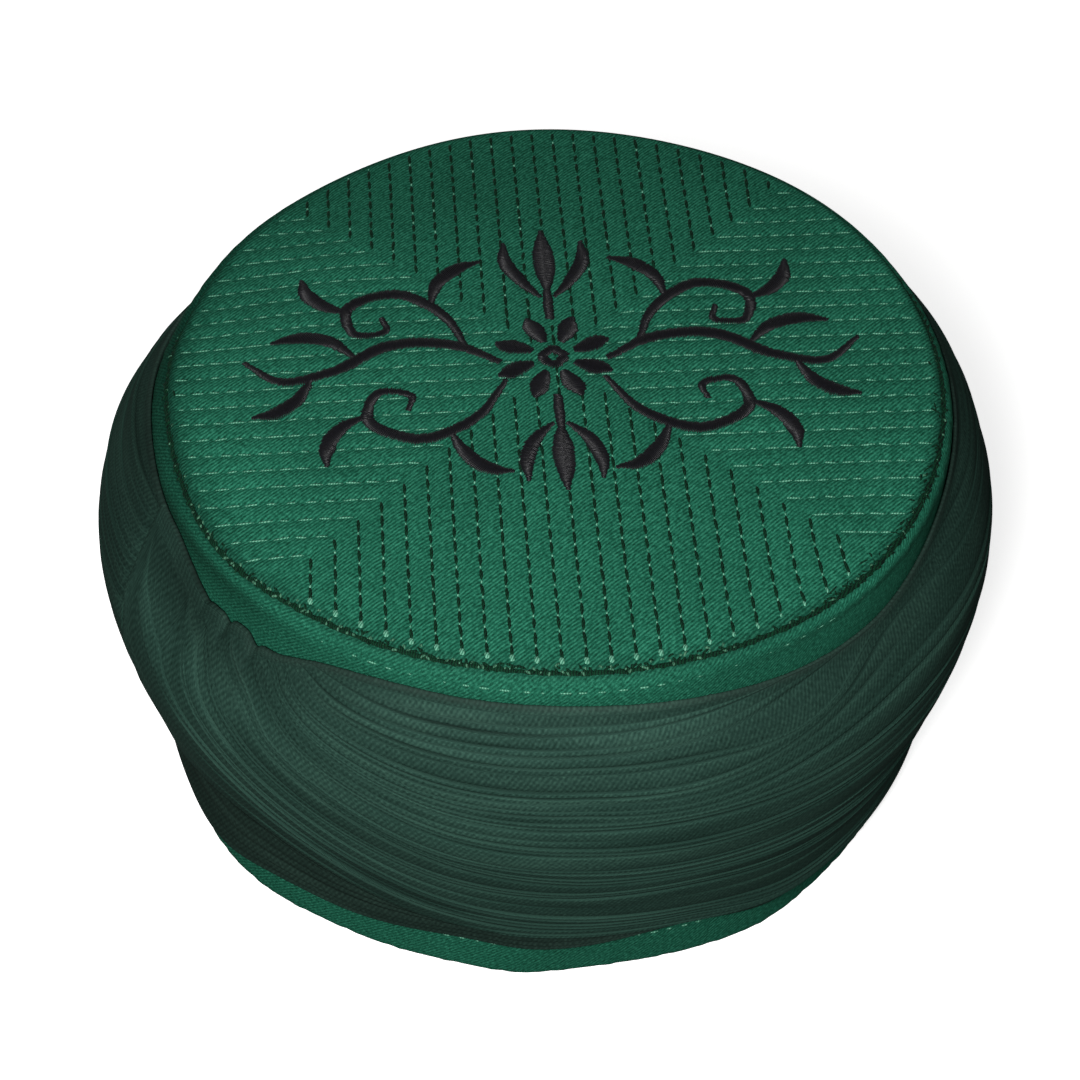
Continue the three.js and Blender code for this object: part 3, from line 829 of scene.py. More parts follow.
drab_thread = spun_thread("drab_green_thread", "#1f4634", "#4f8066", 0.8)
for stitches, thread, slot in (
        (seam_cord, dark_thread, "dark_thread"),
        (seam_dark, dark_thread, "dark_thread"),
        (seam_loose, dark_thread, "dark_thread"),
        (seam_light, drab_thread, "light_thread"),
        (shoulder_row, light_thread, "light_thread"),
        (hem_row, light_thread, "light_thread")):
    stitches.data.materials.append(thread)
    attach(stitches, "root")
for shape in (flat_stitch, arched_thread):
    bpy.data.objects.remove(shape)


# Under turn of the wrap
# The first turn of a long strip of thin, dark green cotton, wound flat round the wall and pulled tight.
# Only a band of it shows above the hem; the rest lies under the over turn.
TUCK = -162
STATIONS = np.array(
    [TUCK, -150, -143, -135, -120, -105, -90, -75, -60, -45, -15, 45, 90, 150, TUCK + 360], dtype=float)

# Heights of four folds at the stations, from the lower edge up
UNDER_FOLDS = np.array([
    [3.5, 3.6, 5.6, 8.8, 10.4, 12.8, 11.2, 13.6, 9.2, 10, 11, 12, 11, 7, 3.5],
    [11, 11, 12, 14, 15, 17, 15, 17, 13.5, 12.5, 15, 16, 16, 14, 11],
    [25, 25, 24.5, 24, 22, 20, 18.5, 19, 16.5, 15, 19, 21, 22, 24, 25],
    [48, 48, 47, 46, 42, 38, 34, 32, 28, 27, 34, 40, 44, 46, 48],
], dtype=float) * MM
UNDER_THICKNESS = {"right": 1.3 * MM, "back": 2.0 * MM, "left": 0.9 * MM, "front": 2.3 * MM}
UNDER_TOP = 78.5 * MM
EDGE_ROLL = 0.7 * MM
UNDER_COLUMNS = 360
UNDER_CREASES = 4
UNDER_CREASE_ROWS = np.array([-0.05, 0.0, 0.03, 0.12])
UNDER_CREASE_DEPTH = 0.42 * MM
UNDER_CREASE_WIDTH = 0.5 * MM
UNDER_CREASE_LINE = 0.22 * MM
UNDER_CREASE_SHADE = 0.6
UNDER_SWELL = 0.25 * MM
UNDER_SWELL_REACH = 2 * MM
UNDER_EDGE_ROWS = [0.06, 0.12]
UNDER_MIDDLE_RADIUS = 95 * MM
HIDDEN_SHADE = 0.8


def around_sides(sides, angles):
    """A value given on the four sides that changes smoothly on the way round."""
    order = ("right", "back", "left", "front", "right")
    ring = np.stack([np.asarray(sides[side], dtype=float) + 0 * angles for side in order])
    quarter = np.floor((angles % 360) / 90).astype(int)
    ease = smoothstep((angles % 360) / 90 - quarter, 0, 1)
    here = np.take_along_axis(ring, quarter[None], axis=0)[0]
    beyond = np.take_along_axis(ring, quarter[None] + 1, axis=0)[0]
    return here + (beyond - here) * ease


def under_outside(height, angles):
    return wall_outside(height) + PIECE_GAP + around_sides(UNDER_THICKNESS, angles)


def between(lines, fold):
    """Heights of folds by their number; those with a fraction lie evenly between two lines."""
    below = np.clip(np.floor(fold).astype(int), 0, lines.shape[1] - 2)
    share = fold - below
    return lines[:, below] * (1 - share) + lines[:, below + 1] * share


def ring_point(angles, radius, height):
    turn = np.radians(angles)
    return np.stack([radius * np.cos(turn), radius * np.sin(turn), height], axis=-1)


def wind(name, places, lengths, tints, shades):
    """A grid wound into a closed ring of cloth, with its places, cloth lengths, edge tint and pleat shade
    by column and row."""
    columns, rows = places.shape[0] - 1, places.shape[1] - 1
    bpy.ops.object.select_all(action="DESELECT")
    bpy.ops.mesh.primitive_grid_add(x_subdivisions=columns, y_subdivisions=rows, size=2)
    piece = bpy.context.object
    piece.name = name
    grid = corners_of(piece)
    column = np.rint((grid[:, 0] + 1) / 2 * columns).astype(int)
    row = np.rint((grid[:, 1] + 1) / 2 * rows).astype(int)
    corner = np.empty(len(piece.data.loops), dtype=np.int32)
    piece.data.loops.foreach_get("vertex_index", corner)
    cloth_map = piece.data.uv_layers[0]
    cloth_map.data.foreach_set("uv", lengths[column, row][corner].ravel())
    for attribute, values in (("tint", tints), ("shade", shades)):
        layer = piece.data.attributes.new(attribute, "FLOAT", "POINT")
        layer.data.foreach_set("value", values[column, row].astype(np.float32))
    move_corners(piece, settle(places[column, row]))
    close_seams(piece)
    return piece


angles = TUCK + 360 * np.arange(UNDER_COLUMNS + 1) / UNDER_COLUMNS
last_fold = len(UNDER_FOLDS) - 1
crease_folds = np.concatenate([
    np.sort(dice.uniform(fold + 0.12, fold + 0.95, UNDER_CREASES)) for fold in range(last_fold)])
crease_rows = (crease_folds[:, None] + UNDER_CREASE_ROWS).ravel()
rows = np.sort(np.concatenate([UNDER_EDGE_ROWS, crease_rows, [last_fold]]))
under_lines = through(STATIONS, UNDER_FOLDS.T, angles)
row_heights = between(under_lines, rows)
relief = np.zeros_like(row_heights)
shades = np.ones_like(row_heights)
for number, fold in enumerate(crease_folds):
    crease = between(under_lines, np.array([fold]))
    open_share = np.clip(0.55 + 0.6 * wobble(angles, (60 * MM, 140 * MM), 20 + number), 0.1, 1)[:, None]
    above = row_heights - crease
    relief -= UNDER_CREASE_DEPTH * open_share * np.exp(-np.abs(above) / UNDER_CREASE_WIDTH)
    relief += UNDER_SWELL * np.exp(-np.maximum(above, 0) / UNDER_SWELL_REACH) * (above > 0)
    shades -= UNDER_CREASE_SHADE * open_share * np.exp(-(above / UNDER_CREASE_LINE) ** 2)
wide = np.repeat(angles[:, None], len(rows), axis=1)
outer = ring_point(wide, under_outside(row_heights, wide) + relief - UNDER_SWELL, row_heights)
edge = row_heights[:, 0] - UNDER_EDGE_ROWS[0] * (row_heights[:, -1] - row_heights[:, 0]) / last_fold
top = np.full(len(angles), UNDER_TOP)
loop = [ring_point(angles, wall_outside(edge) + PIECE_GAP, edge + EDGE_ROLL),
        ring_point(angles, wall_outside(edge) + PIECE_GAP + 0.3 * MM, edge + 0.1 * MM),
        ring_point(angles, under_outside(edge, angles) - 0.9 * MM, edge)]
loop += [outer[:, row] for row in range(len(rows))]
loop += [ring_point(angles, under_outside(top, angles) - 0.3 * MM, top - EDGE_ROLL),
         ring_point(angles, under_outside(top, angles) - EDGE_ROLL, top),
         ring_point(angles, wall_outside(top) + PIECE_GAP, top - EDGE_ROLL)]
places = np.stack(loop + [loop[0]], axis=1)
places[-1] = places[0]
way_round = np.radians(angles) * UNDER_MIDDLE_RADIUS
lengths = np.stack([np.repeat(way_round[:, None], places.shape[1], axis=1), places[:, :, 2]], axis=-1)
shades = np.pad(np.clip(shades, 0.25, 1.2), ((0, 0), (3, 4)), constant_values=HIDDEN_SHADE)
under_turn = wind("wrap_under_turn_cloth", places, lengths, np.zeros(places.shape[:2]), shades)


# Thin cotton voile: a plain weave of fine yarns laid on the bias, so the eye sees a faint slanting hatch.
# The yarns are about 0.3 mm apart, too fine to show, so the hatch is drawn at 1 mm, at a slant across the
# pleats. The cloth is dark and matt, and its dye is a little uneven from pleat to pleat.
WEAVE_PITCH = 1.0 * MM
WARP_SLANT = math.radians(33)
WEFT_SLANT = math.radians(-57)
SLUB = 0.8 * MM
DYE_PATCH = 45 * MM


def wound_cloth(name, deep, mid, pale, edge):
    material, tree = blank_finish(name)
    place = node(tree, "ShaderNodeTexCoord").outputs["UV"]
    warp_turn = node(tree, "ShaderNodeMapping", {"Vector": place, "Rotation": (0, 0, WARP_SLANT)})
    weft_turn = node(tree, "ShaderNodeMapping", {"Vector": place, "Rotation": (0, 0, WEFT_SLANT)})
    warp = node(tree, "ShaderNodeTexWave", {
        "Vector": warp_turn.outputs[0], "Scale": WAVE_SCALE / WEAVE_PITCH, "Distortion": 1.8,
        "Detail": 1.0, "Detail Scale": 1.0})
    weft = node(tree, "ShaderNodeTexWave", {
        "Vector": weft_turn.outputs[0], "Scale": WAVE_SCALE / WEAVE_PITCH, "Distortion": 2.4,
        "Detail": 1.0, "Detail Scale": 1.0})
    slubs = node(tree, "ShaderNodeTexNoise", {"Vector": place, "Scale": 1 / SLUB, "Detail": 3.0})
    drift = node(tree, "ShaderNodeMapping", {"Vector": place, "Scale": (1, 5, 1)})
    dye = node(tree, "ShaderNodeTexNoise", {
        "Vector": drift.outputs[0], "Scale": 1 / DYE_PATCH, "Detail": 4.0})
    weave = node(tree, "ShaderNodeMix", {
        "Factor": 0.25, "A": warp.outputs["Fac"], "B": weft.outputs["Fac"]}, data_type="FLOAT")
    yarn = node(tree, "ShaderNodeMix", {
        "Factor": 0.75, "A": weave.outputs["Result"], "B": slubs.outputs["Fac"]}, data_type="FLOAT")
    spread = node(tree, "ShaderNodeMix", {
        "Factor": 0.4, "A": yarn.outputs["Result"], "B": dye.outputs["Fac"]}, data_type="FLOAT")
    tone = node(tree, "ShaderNodeValToRGB", {"Fac": spread.outputs["Result"]},
                stops=((0.3, deep), (0.5, mid), (0.72, pale)))
    tint = node(tree, "ShaderNodeAttribute", attribute_name="tint")
    # The shade attribute brings in painted shade in the creases and painted highlights on the pleats' lips
    shade = node(tree, "ShaderNodeAttribute", attribute_name="shade")
    tinted = node(tree, "ShaderNodeMix", {
        "Factor": tint.outputs["Fac"], 6: tone.outputs["Color"], 7: linear(edge)}, data_type="RGBA")
    colour = node(tree, "ShaderNodeMix", {
        "Factor": 1.0, 6: tinted.outputs[2], 7: shade.outputs["Fac"]},
        data_type="RGBA", blend_type="MULTIPLY")
    dull = node(tree, "ShaderNodeMapRange", {
        "Value": slubs.outputs["Fac"], "From Min": 0.3, "From Max": 0.7, "To Min": 0.85, "To Max": 0.7})
    relief = node(tree, "ShaderNodeBump", {
        "Strength": 0.3, "Distance": 0.08 * MM, "Height": yarn.outputs["Result"]})
    cloth = node(tree, "ShaderNodeBsdfPrincipled", {
        "Base Color": colour.outputs[2], "Roughness": dull.outputs["Result"], "Normal": relief.outputs[0],
        "Specular IOR Level": 0.06, "Sheen Weight": 0.015, "Sheen Roughness": 0.6,
        "Sheen Tint": linear("#7fa393")})
    node(tree, "ShaderNodeOutputMaterial", {"Surface": cloth.outputs[0]})
    return material


# The under turn is the over turn's cloth in darker colours, painted shade where the over turn hangs over it
under_turn.data.materials.append(
    wound_cloth("dark_green_cotton_under_painted_shade", "#101c18", "#1b2b25", "#293d35", "#1f2a25"))
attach(under_turn, "root")
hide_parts("wrap_under_turn")


# Over turn of the wrap
# The outer turn of the same strip, gathered into pleats. They drop from the upper edge on the left, fan out
# across the front and run level round the right and the back, where the turn ends under its own start.
# Both edges are given as angles and heights in millimetres, the notches with their widths and depths.
UPPER_EDGE = np.array([
    (TUCK, 90.5), (-156, 89.2), (-152, 85.4), (-148.5, 82), (-145.8, 82.2), (-143, 82.8), (-140, 83.7),
    (-138, 83.6), (-135.5, 82.6), (-133, 83.3), (-129.5, 85.8), (-126, 88), (-118, 90.5), (-105, 91.2),
    (-90, 90.7), (-75, 88.2), (-60, 84.6), (-50, 83), (-42, 82.8), (-34, 84.6), (-25, 88), (-15, 91),
    (0, 92.6), (15, 93), (45, 93), (90, 90.5), (125, 86.6), (150, 89), (160, 92), (170, 93.8), (181, 93.8),
    (190, 93), (TUCK + 360, 90.5),
], dtype=float)
EDGE_NOTCHES = [(-142.6, 0.8, 1.8 * MM), (-137.2, 0.9, 2.4 * MM), (-147.6, 0.7, 0.8 * MM)]
EDGE_UNEVEN = 0.12 * MM
EDGE_UNEVEN_WAVES = (4 * MM, 7 * MM, 12 * MM)
LOWER_EDGE = np.array([
    (TUCK, 25), (-152, 25.4), (-146, 28.4), (-139, 30.8), (-132, 31), (-127, 29.4), (-120, 26.2),
    (-112, 22.6), (-105, 20.6), (-90, 18.4), (-75, 17.2), (-60, 13), (-45, 11.5), (-15, 12.5), (45, 15),
    (90, 19), (150, 25), (TUCK + 360, 25),
], dtype=float)

# Each fold: the angle at which it leaves the upper edge, how full its fall is, and its heights at the places
FOLD_PLACES = np.array([-90, -75, -60, -45, -15, 45, 90, 150, TUCK + 360], dtype=float)
OVER_FOLDS = [
    (-161, 1.0, [23.2, 20.5, 14.4, 12.4, 14, 17.5, 21.5, 30.5, 38.5]),
    (-151.5, 1.0, [26.5, 22.8, 16.5, 14.5, 16.5, 20, 24, 33, 41]),
    (-147, 1.0, [38, 36, 30, 27, 27, 29, 32, 40, 48]),
    (-144.4, 0.85, [44, 41.5, 37, 34, 34, 36, 39, 46, 54]),
    (-142, 1.0, [48, 45, 42, 40, 41, 43, 45, 52, 60]),
    (-139.8, 1.0, [56, 53, 51, 50, 50, 51, 53, 58, 66]),
    (-138, 1.1, [64.5, 63, 61, 61, 60, 60, 61, 65, 71]),
    (-136.7, 1.3, [68, 65.5, 67.5, 69, 68, 67, 67, 70, 75]),
    (-135.2, 1.4, [72.5, 71, 74, 79, 80, 74, 73, 75, 79]),
    (-134.4, 1.6, [79.5, 78, 75.5, 81, 83, 79, 78, 79.5, 83]),
    (-133.8, 1.8, [82, 81.5, 82, 83.5, 86, 84, 83, 84, 86]),
    (-133, 2.0, [86, 85, 84.8, 85.4, 89, 88, 87, 88, 89.5]),
]
FAN_TOP = 90 * MM
FAN_FRONT = -90

# How far a fold has fallen on its way from the upper edge (0) to the front (1), and what is left of the fall
FAN_FALL = np.array([
    (0, 1), (0.035, 0.79), (0.08, 0.69), (0.14, 0.6), (0.2, 0.53), (0.3, 0.43), (0.4, 0.34), (0.5, 0.25),
    (0.6, 0.165), (0.7, 0.095), (0.8, 0.05), (0.9, 0.02), (1, 0)])
LEAST_FOLD = 0.22 * MM

# Radii of the turn on its four sides, at these heights
OUTLINE_HEIGHTS = np.array([20, 34, 46, 58, 70, 82, 93], dtype=float) * MM
OUTLINE = {
    "left": np.array([95.8, 99.6, 102.9, 104.3, 102.2, 96.8, 92.0]) * MM,
    "front": np.array([96.4, 98.8, 100.8, 101.6, 100.2, 96.4, 91.4]) * MM,
    "right": np.array([95.0, 98.8, 101.0, 102.4, 101.4, 97.4, 91.8]) * MM,
    "back": np.array([95.8, 98.4, 100.4, 101.6, 100.2, 95.8, 91.0]) * MM,
}
LEAST_TURN = 0.9 * MM
TUCK_STEP = 0.8 * MM
TUCK_LEAN = 5
TUCK_REACH = 14
EDGE_FALL = 9 * MM
EDGE_THICKNESS = 1.0 * MM
EDGE_STANDS = [(-150, 15, 1.0)]
EDGE_STAND = 1.3 * MM
EDGE_SHADES = [(184, 18, 0.38), (-151, 7, 0.5), (-139, 6, 0.26), (-127, 11, 0.24), (-18, 32, 0.28)]
EDGE_TINT = 0.3
LINE_WIDTH = 0.22 * MM
LIP_WIDTH = 1.0 * MM
CREASE_DEPTH = 1.0 * MM
PLEAT_SWELL = 0.5 * MM
PLEAT_UNEVEN = 0.3 * MM
PLEAT_TONE = 0.26
PLEAT_MIDDLE_RADIUS = 100 * MM
PLEAT_MAP_STEP = 7.3 * MM
TURN_UNEVEN = 0.5 * MM
START_ROLL = 0.5 * MM
END_DIP = 0.9 * MM
LOWER_EDGE_ROLL = 0.9 * MM


def over_outside(angles, height, top):
    """Radius of the turn before its pleats. Where the upper edge is low, the profile is drawn down to it."""
    reached = height + (OUTLINE_HEIGHTS[-1] - top) * smoothstep(height, top - 25 * MM, top)
    reached = np.clip(reached, OUTLINE_HEIGHTS[0], OUTLINE_HEIGHTS[-1])
    sides = {side: through(OUTLINE_HEIGHTS, radii, reached) for side, radii in OUTLINE.items()}
    return around_sides(sides, angles)


# Columns of corners, closer together where the pleats drop
angles = np.concatenate([
    TUCK + np.array([0.0, 0.15, 0.35, 0.6, 0.9, 1.3, 1.8]), np.arange(-159.6, -153, 0.6),
    np.arange(-153, -129, 0.35), np.arange(-129, -30, 0.8), np.arange(-30, 195.5, 1.5),
    TUCK + 360 - np.array([2.0, 1.4, 0.9, 0.5, 0.2])])
sweep = angles - TUCK
columns = len(angles)

upper_line = through(UPPER_EDGE[:, 0], UPPER_EDGE[:, 1], angles) * MM
upper_edge = upper_line - bumps(angles, EDGE_NOTCHES) + EDGE_UNEVEN * wobble(angles, EDGE_UNEVEN_WAVES, 31)
lower_edge = through(LOWER_EDGE[:, 0], LOWER_EDGE[:, 1], angles) * MM
lines = [lower_edge]
for start, fullness, heights in OVER_FOLDS:
    levels = np.array(heights, dtype=float) * MM
    level = through(FOLD_PLACES, levels, np.maximum(angles, FAN_FRONT))
    share = np.clip((angles - start) / (FAN_FRONT - start), 0, 1)
    fall = through(FAN_FALL[:, 0], FAN_FALL[:, 1], share) ** fullness
    lines.append(np.where(angles < start, upper_edge, level + (FAN_TOP - levels[0]) * fall))
lines.append(upper_edge)
for fold in range(len(lines) - 2, 0, -1):
    lines[fold] = np.minimum(lines[fold], lines[fold + 1] - LEAST_FOLD)
lines = np.stack(lines, axis=1)

# Creases run in bundles: a deep one at each fold of the table with a finer one on either side where there
# is room, and now and then a faint one in the smooth cloth between two bundles
front_rooms = np.diff(lines[np.argmin(np.abs(angles - FAN_FRONT))])
bundles = [(0.0, 0.0)]
for fold, room in enumerate(front_rooms):
    if fold > 0:
        bundles.append((float(fold), dice.uniform(0.8, 1.0)))
    if room > 3 * MM:
        bundles.append((fold + dice.uniform(1.1, 1.5) * MM / room, dice.uniform(0.2, 0.55)))
    if room > 8 * MM:
        bundles.append((fold + dice.uniform(0.4, 0.6), dice.uniform(0.15, 0.35)))
    if room > 4.5 * MM:
        bundles.append((fold + 1 - dice.uniform(1.1, 1.6) * MM / room, dice.uniform(0.2, 0.55)))
bundles.append((len(front_rooms), 0.0))
crease_folds, crease_strengths = np.array(bundles).T
creases = between(lines, crease_folds)
room = np.diff(creases, axis=1)
pleats = room.shape[1]

# A crease fades in and out on its way round, and closes where the folds run together. Towards the tuck only
# two lead on, at the right front they are pulled flat, and in the fan they open below the upper edge
strength = np.stack([
    most * np.clip(0.7 + 0.65 * wobble(angles, (55 * MM, 130 * MM, 300 * MM), 140 + number), 0.12, 1.15)
    for number, most in enumerate(crease_strengths)], axis=1)
strength[:, 1:] *= np.minimum(1, room / (1.2 * MM))
leading = np.isin(crease_folds, (8, 12))
strength *= 1 - np.where(leading, 0, 0.75) * smoothstep(angles, 125, 160)[:, None]
strength *= 1 - 0.55 * (smoothstep(angles, -55, -30) * (1 - smoothstep(angles, 20, 60)))[:, None]
smooth_below = np.where(crease_folds < 4.5, 24 * MM, 13 * MM)
opened = smoothstep(upper_edge[:, None] - creases, 0.25 * smooth_below, smooth_below)
gathered = np.isin(crease_folds, (5, 8))
strength *= 1 - np.where(gathered, -0.3, 0.8 * (1 - opened)) * (1 - smoothstep(angles, -132, -120))[:, None]
strength *= 1 - np.where(crease_folds < 1.6, 0.9, 0) * (1 - smoothstep(angles, -152, -138))[:, None]
lower, upper = strength[:, :-1], strength[:, 1:]

# Six rows of corners to a pleat: its crease, the cloth that comes out of it and swells, and the rolled upper
# lip that catches the light below the next crease
below, above = creases[:, :-1], creases[:, 1:]
line = np.minimum(LINE_WIDTH, 0.12 * room)
lip = np.minimum(LIP_WIDTH, 0.34 * room)
row_heights = np.stack([
    below, below + line, below + lip, below + 0.5 * room, above - lip, above - line], axis=2)
deep = np.minimum(CREASE_DEPTH, 0.4 * room)
proud = np.minimum(PLEAT_SWELL, 0.2 * room)
flat = np.zeros_like(room)
relief = np.stack([-deep * lower, -0.7 * deep * lower, flat, 0.3 * proud * upper, 0.6 * proud * upper,
                   proud * upper], axis=2)
level = np.stack([wobble(angles, (120 * MM, 260 * MM), 100 + pleat) for pleat in range(pleats)], axis=1)
level *= smoothstep(np.minimum(sweep, 360 - sweep), 0, 12)[:, None]
relief += (np.minimum(PLEAT_UNEVEN, 0.1 * room) * level)[:, :, None]

# The dye is uneven from pleat to pleat. Each crease is painted dark and each rolled lip painted light, and
# painted shade darkens the cloth before the tuck and where it hangs in the shade above the lower edge on the
# left
tone = 1 + PLEAT_TONE * np.stack([
    wobble(angles, (90 * MM, 240 * MM, 500 * MM), 200 + pleat) for pleat in range(pleats)], axis=1)
tone *= 1 - 0.3 * smoothstep(sweep, 338, 354)[:, None]
above_edge = above - lower_edge[:, None]
hung = (1 - smoothstep(above_edge, 2 * MM, 15 * MM)) * (1 - smoothstep(angles, -115, -95))[:, None]
tone *= 1 - 0.4 * hung
shades = np.stack([1 - 0.75 * lower, tone * (1 - 0.4 * lower), tone * (1 - 0.08 * lower), tone,
                   tone * (1 + 0.08 * upper), tone * (1 + 0.17 * upper)], axis=2)

# The cloth's own lengths: along each pleat, and across it from its crease
step = np.radians(np.gradient(angles)) * PLEAT_MIDDLE_RADIUS
rise = np.gradient(below, axis=0)
stretch = np.hypot(step[:, None], rise)
along_pleat = np.repeat(np.cumsum(stretch, axis=0)[:, :, None], row_heights.shape[2], axis=2)
across_pleat = (row_heights - below[:, :, None]) * (step[:, None] / stretch)[:, :, None]
across_pleat = across_pleat + np.arange(pleats)[None, :, None] * PLEAT_MAP_STEP

row_heights, relief, shades, along_pleat, across_pleat = (
    values.reshape(columns, -1) for values in (row_heights, relief, shades, along_pleat, across_pleat))
wide = np.repeat(angles[:, None], row_heights.shape[1], axis=1)
top = creases[:, -1]
high = np.repeat(top[:, None], row_heights.shape[1], axis=1)
level_high = np.repeat(upper_line[:, None], row_heights.shape[1], axis=1)
# Painted shade darkens the cloth a little below the upper edge at the tuck, the left front and the right
shades *= 1 - bumps(angles, EDGE_SHADES)[:, None] * smoothstep(row_heights, high - 13 * MM, high - 3 * MM)
swell = over_outside(wide.ravel(), row_heights.ravel(), level_high.ravel()).reshape(wide.shape)
lapped = 0.15 + 0.85 * smoothstep(row_heights, 60 * MM, 76 * MM)
swell -= TUCK_STEP * smoothstep(sweep, 320, 360)[:, None] * lapped
relief += TURN_UNEVEN * wobble(angles, (170 * MM, 400 * MM), 9)[:, None] * np.sin(row_heights / (11 * MM))

# The start of the turn is rolled over at the tuck, and the end dips under it
start_roll = START_ROLL * (1 - np.sqrt(1 - (1 - np.clip(sweep / 0.9, 0, 1)) ** 2))
end_dip = END_DIP * smoothstep(sweep, 357.6, 359.8)
radius = swell + relief - (start_roll + end_dip)[:, None] * lapped


def over_inside(height, angles):
    under = height <= UNDER_TOP + EDGE_ROLL
    return np.where(under, under_outside(height, angles), wall_outside(height)) + PIECE_GAP


# Towards the upper edge the turn thins out and lies close to the wall, but on the left its pleats stand away
inside = over_inside(row_heights, wide)
radius = np.maximum(radius, inside + LEAST_TURN)
stands = bumps(angles, EDGE_STANDS)
edge_thickness = EDGE_THICKNESS + EDGE_STAND * stands
thinned = smoothstep(row_heights, high - EDGE_FALL * (1 - 0.6 * stands)[:, None], high)
radius += (wall_outside(row_heights) + PIECE_GAP + edge_thickness[:, None] - radius) * thinned ** 2
rolled = np.clip(1 - (high - row_heights) / (1.6 * edge_thickness[:, None]), 0, 1)
radius -= 0.6 * edge_thickness[:, None] * (1 - np.sqrt(1 - rolled ** 2))


def leaned(height):
    """Angles of the columns, which slant forwards on the way down near the tuck."""
    by_column = (-1,) + (1,) * (height.ndim - 1)
    near = 1 - smoothstep(np.minimum(sweep, 360 - sweep), 0, TUCK_REACH)
    return angles.reshape(by_column) + TUCK_LEAN * near.reshape(by_column) * (1 - height / CAP_HEIGHT)


radius[:, 0] -= LOWER_EDGE_ROLL
outer = ring_point(leaned(row_heights), radius, row_heights)
edge = row_heights[:, 0]


def inner_point(height, out=0.0):
    return ring_point(leaned(height), over_inside(height, angles) + out, height)


cleared = np.full(len(angles), UNDER_TOP + EDGE_ROLL)
loop = [inner_point(edge + EDGE_ROLL), inner_point(edge + 0.1 * MM, 0.6 * MM)]
loop += [outer[:, row] for row in range(outer.shape[1])]
loop += [ring_point(leaned(top), over_inside(top, angles) + 0.2 * edge_thickness, top),
         inner_point(top - 0.2 * MM),
         inner_point(cleared + 1.2 * EDGE_ROLL), inner_point(cleared), inner_point((cleared + edge) / 2)]
places = np.stack(loop + [loop[0]], axis=1)
places = np.concatenate([places, places[:1]], axis=0)
tint = EDGE_TINT * smoothstep(row_heights, high - 2 * MM, high) * (1 - stands)[:, None]
tints = np.pad(tint, ((0, 1), (2, 6)))
tints[:, -6:-4] = EDGE_TINT
shades = np.pad(np.clip(shades, 0.15, 1.7), ((0, 1), (2, 6)), mode="edge")
shades[-1] = shades[0]
lengths = np.pad(np.stack([along_pleat, across_pleat], axis=-1), ((0, 1), (2, 6), (0, 0)), mode="edge")
over_turn = wind("wrap_over_turn_cloth", places, lengths, tints, shades)
bpy.ops.object.shade_smooth_by_angle(angle=math.radians(75))
over_turn.data.materials.append(
    wound_cloth("dark_green_cotton_over", "#132720", "#233c34", "#37564a", "#2e3531"))
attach(over_turn, "root")
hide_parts("wrap_over_turn")


# Studio
# A plain pale floor, a sheet of white acrylic lit from below, under one soft light from the front left and
# above and a weak one low behind the cap. The floor throws no light on the cap, whose lower folds stay as
# dark as they would on a table.
FLOOR_SIZE = 8
FLOOR_DROP = 0.3 * MM
FLOOR_GRAIN = 60 * MM
bpy.ops.object.select_all(action="DESELECT")
bpy.ops.mesh.primitive_plane_add(size=FLOOR_SIZE, location=(0, 0, -FLOOR_DROP))
floor = bpy.context.object
floor.name = "studio_floor"
floor.visible_diffuse = False
floor.visible_glossy = False
acrylic, tree = blank_finish("white_acrylic_sheet")
place = node(tree, "ShaderNodeTexCoord").outputs["Object"]
grain = node(tree, "ShaderNodeTexNoise", {"Vector": place, "Scale": 1 / FLOOR_GRAIN, "Detail": 3.0})
tone = node(tree, "ShaderNodeValToRGB", {"Fac": grain.outputs["Fac"]},
            stops=((0, "#f1f1f0"), (1, "#f6f6f5")))
sheet = node(tree, "ShaderNodeBsdfPrincipled", {
    "Base Color": tone.outputs["Color"], "Roughness": 0.9, "Specular IOR Level": 0.1,
    "Emission Color": linear("#ffffff"), "Emission Strength": 0.7})
node(tree, "ShaderNodeOutputMaterial", {"Surface": sheet.outputs[0]})
floor.data.materials.append(acrylic)

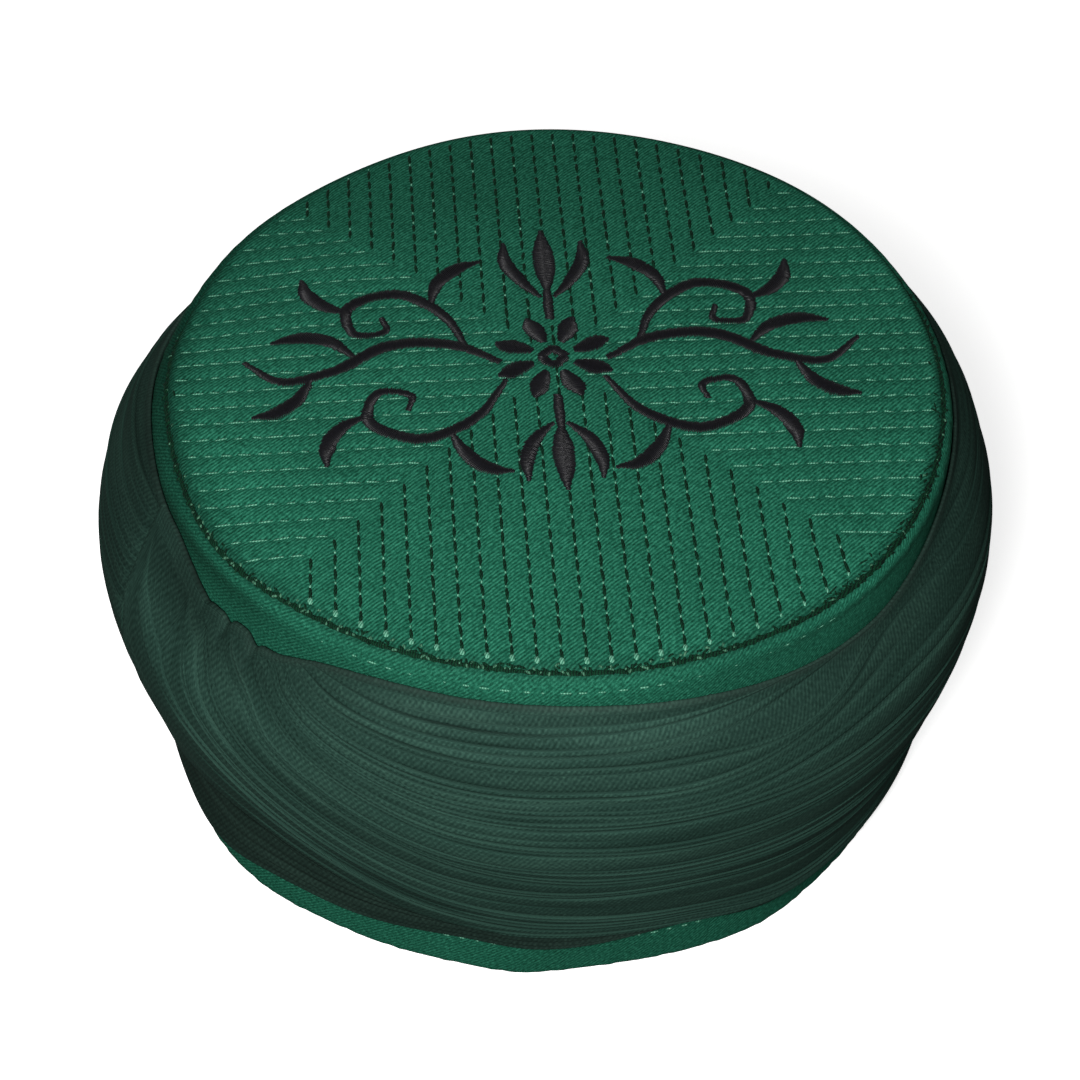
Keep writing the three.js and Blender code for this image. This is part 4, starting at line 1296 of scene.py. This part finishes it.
world = bpy.data.worlds.new("pale_room")
bpy.context.scene.world = world
world.use_nodes = True
room = world.node_tree.nodes["Background"]
room.inputs["Color"].default_value = linear("#ffffff")
room.inputs["Strength"].default_value = 0.08
bpy.context.scene.view_settings.view_transform = "Standard"


def soft_light(name, place, aim, size, power):
    bpy.ops.object.select_all(action="DESELECT")
    bpy.ops.object.light_add(type="AREA", location=place)
    light = bpy.context.object
    light.name = name
    light.data.shape = "DISK"
    light.data.size = size
    light.data.energy = power
    light.rotation_euler = (Vector(place) - Vector(aim)).to_track_quat("Z", "Y").to_euler()


soft_light("key_softbox", (-0.11, -0.42, 0.46), (0, -0.04, 0.07), 0.16, 4.0)
soft_light("low_fill_behind", (0.2, 0.66, 0.14), (0, 0, 0.05), 0.3, 1.6)
bpy.context.object.visible_glossy = False


# Camera
# At the photograph's angle: in front, a little left, looking down on the crown with a long lens.
CAMERA_TURN = math.radians(-4.46)
CAMERA_HEIGHT = math.radians(47.32)
CAMERA_ROLL = math.radians(0.72)
CAMERA_AIM = Vector((-3.4, -50.7, 98)) * MM
CAMERA_DISTANCE = 536 * MM
CAMERA_LENS = 85.5
CAMERA_SENSOR = 36

backwards = Vector((math.sin(CAMERA_TURN) * math.cos(CAMERA_HEIGHT),
                    -math.cos(CAMERA_TURN) * math.cos(CAMERA_HEIGHT), math.sin(CAMERA_HEIGHT)))
level = Vector((math.cos(CAMERA_TURN), math.sin(CAMERA_TURN), 0))
raised = backwards.cross(level)
right = level * math.cos(CAMERA_ROLL) + raised * math.sin(CAMERA_ROLL)
above = raised * math.cos(CAMERA_ROLL) - level * math.sin(CAMERA_ROLL)
bpy.ops.object.camera_add()
camera = bpy.context.object
camera.name = "photo_camera"
camera.data.lens = CAMERA_LENS
camera.data.sensor_width = CAMERA_SENSOR
camera.data.clip_start = 0.01
turned = Matrix((right, above, backwards)).transposed().to_4x4()
camera.matrix_world = Matrix.Translation(CAMERA_AIM + backwards * CAMERA_DISTANCE) @ turned
bpy.context.scene.camera = camera
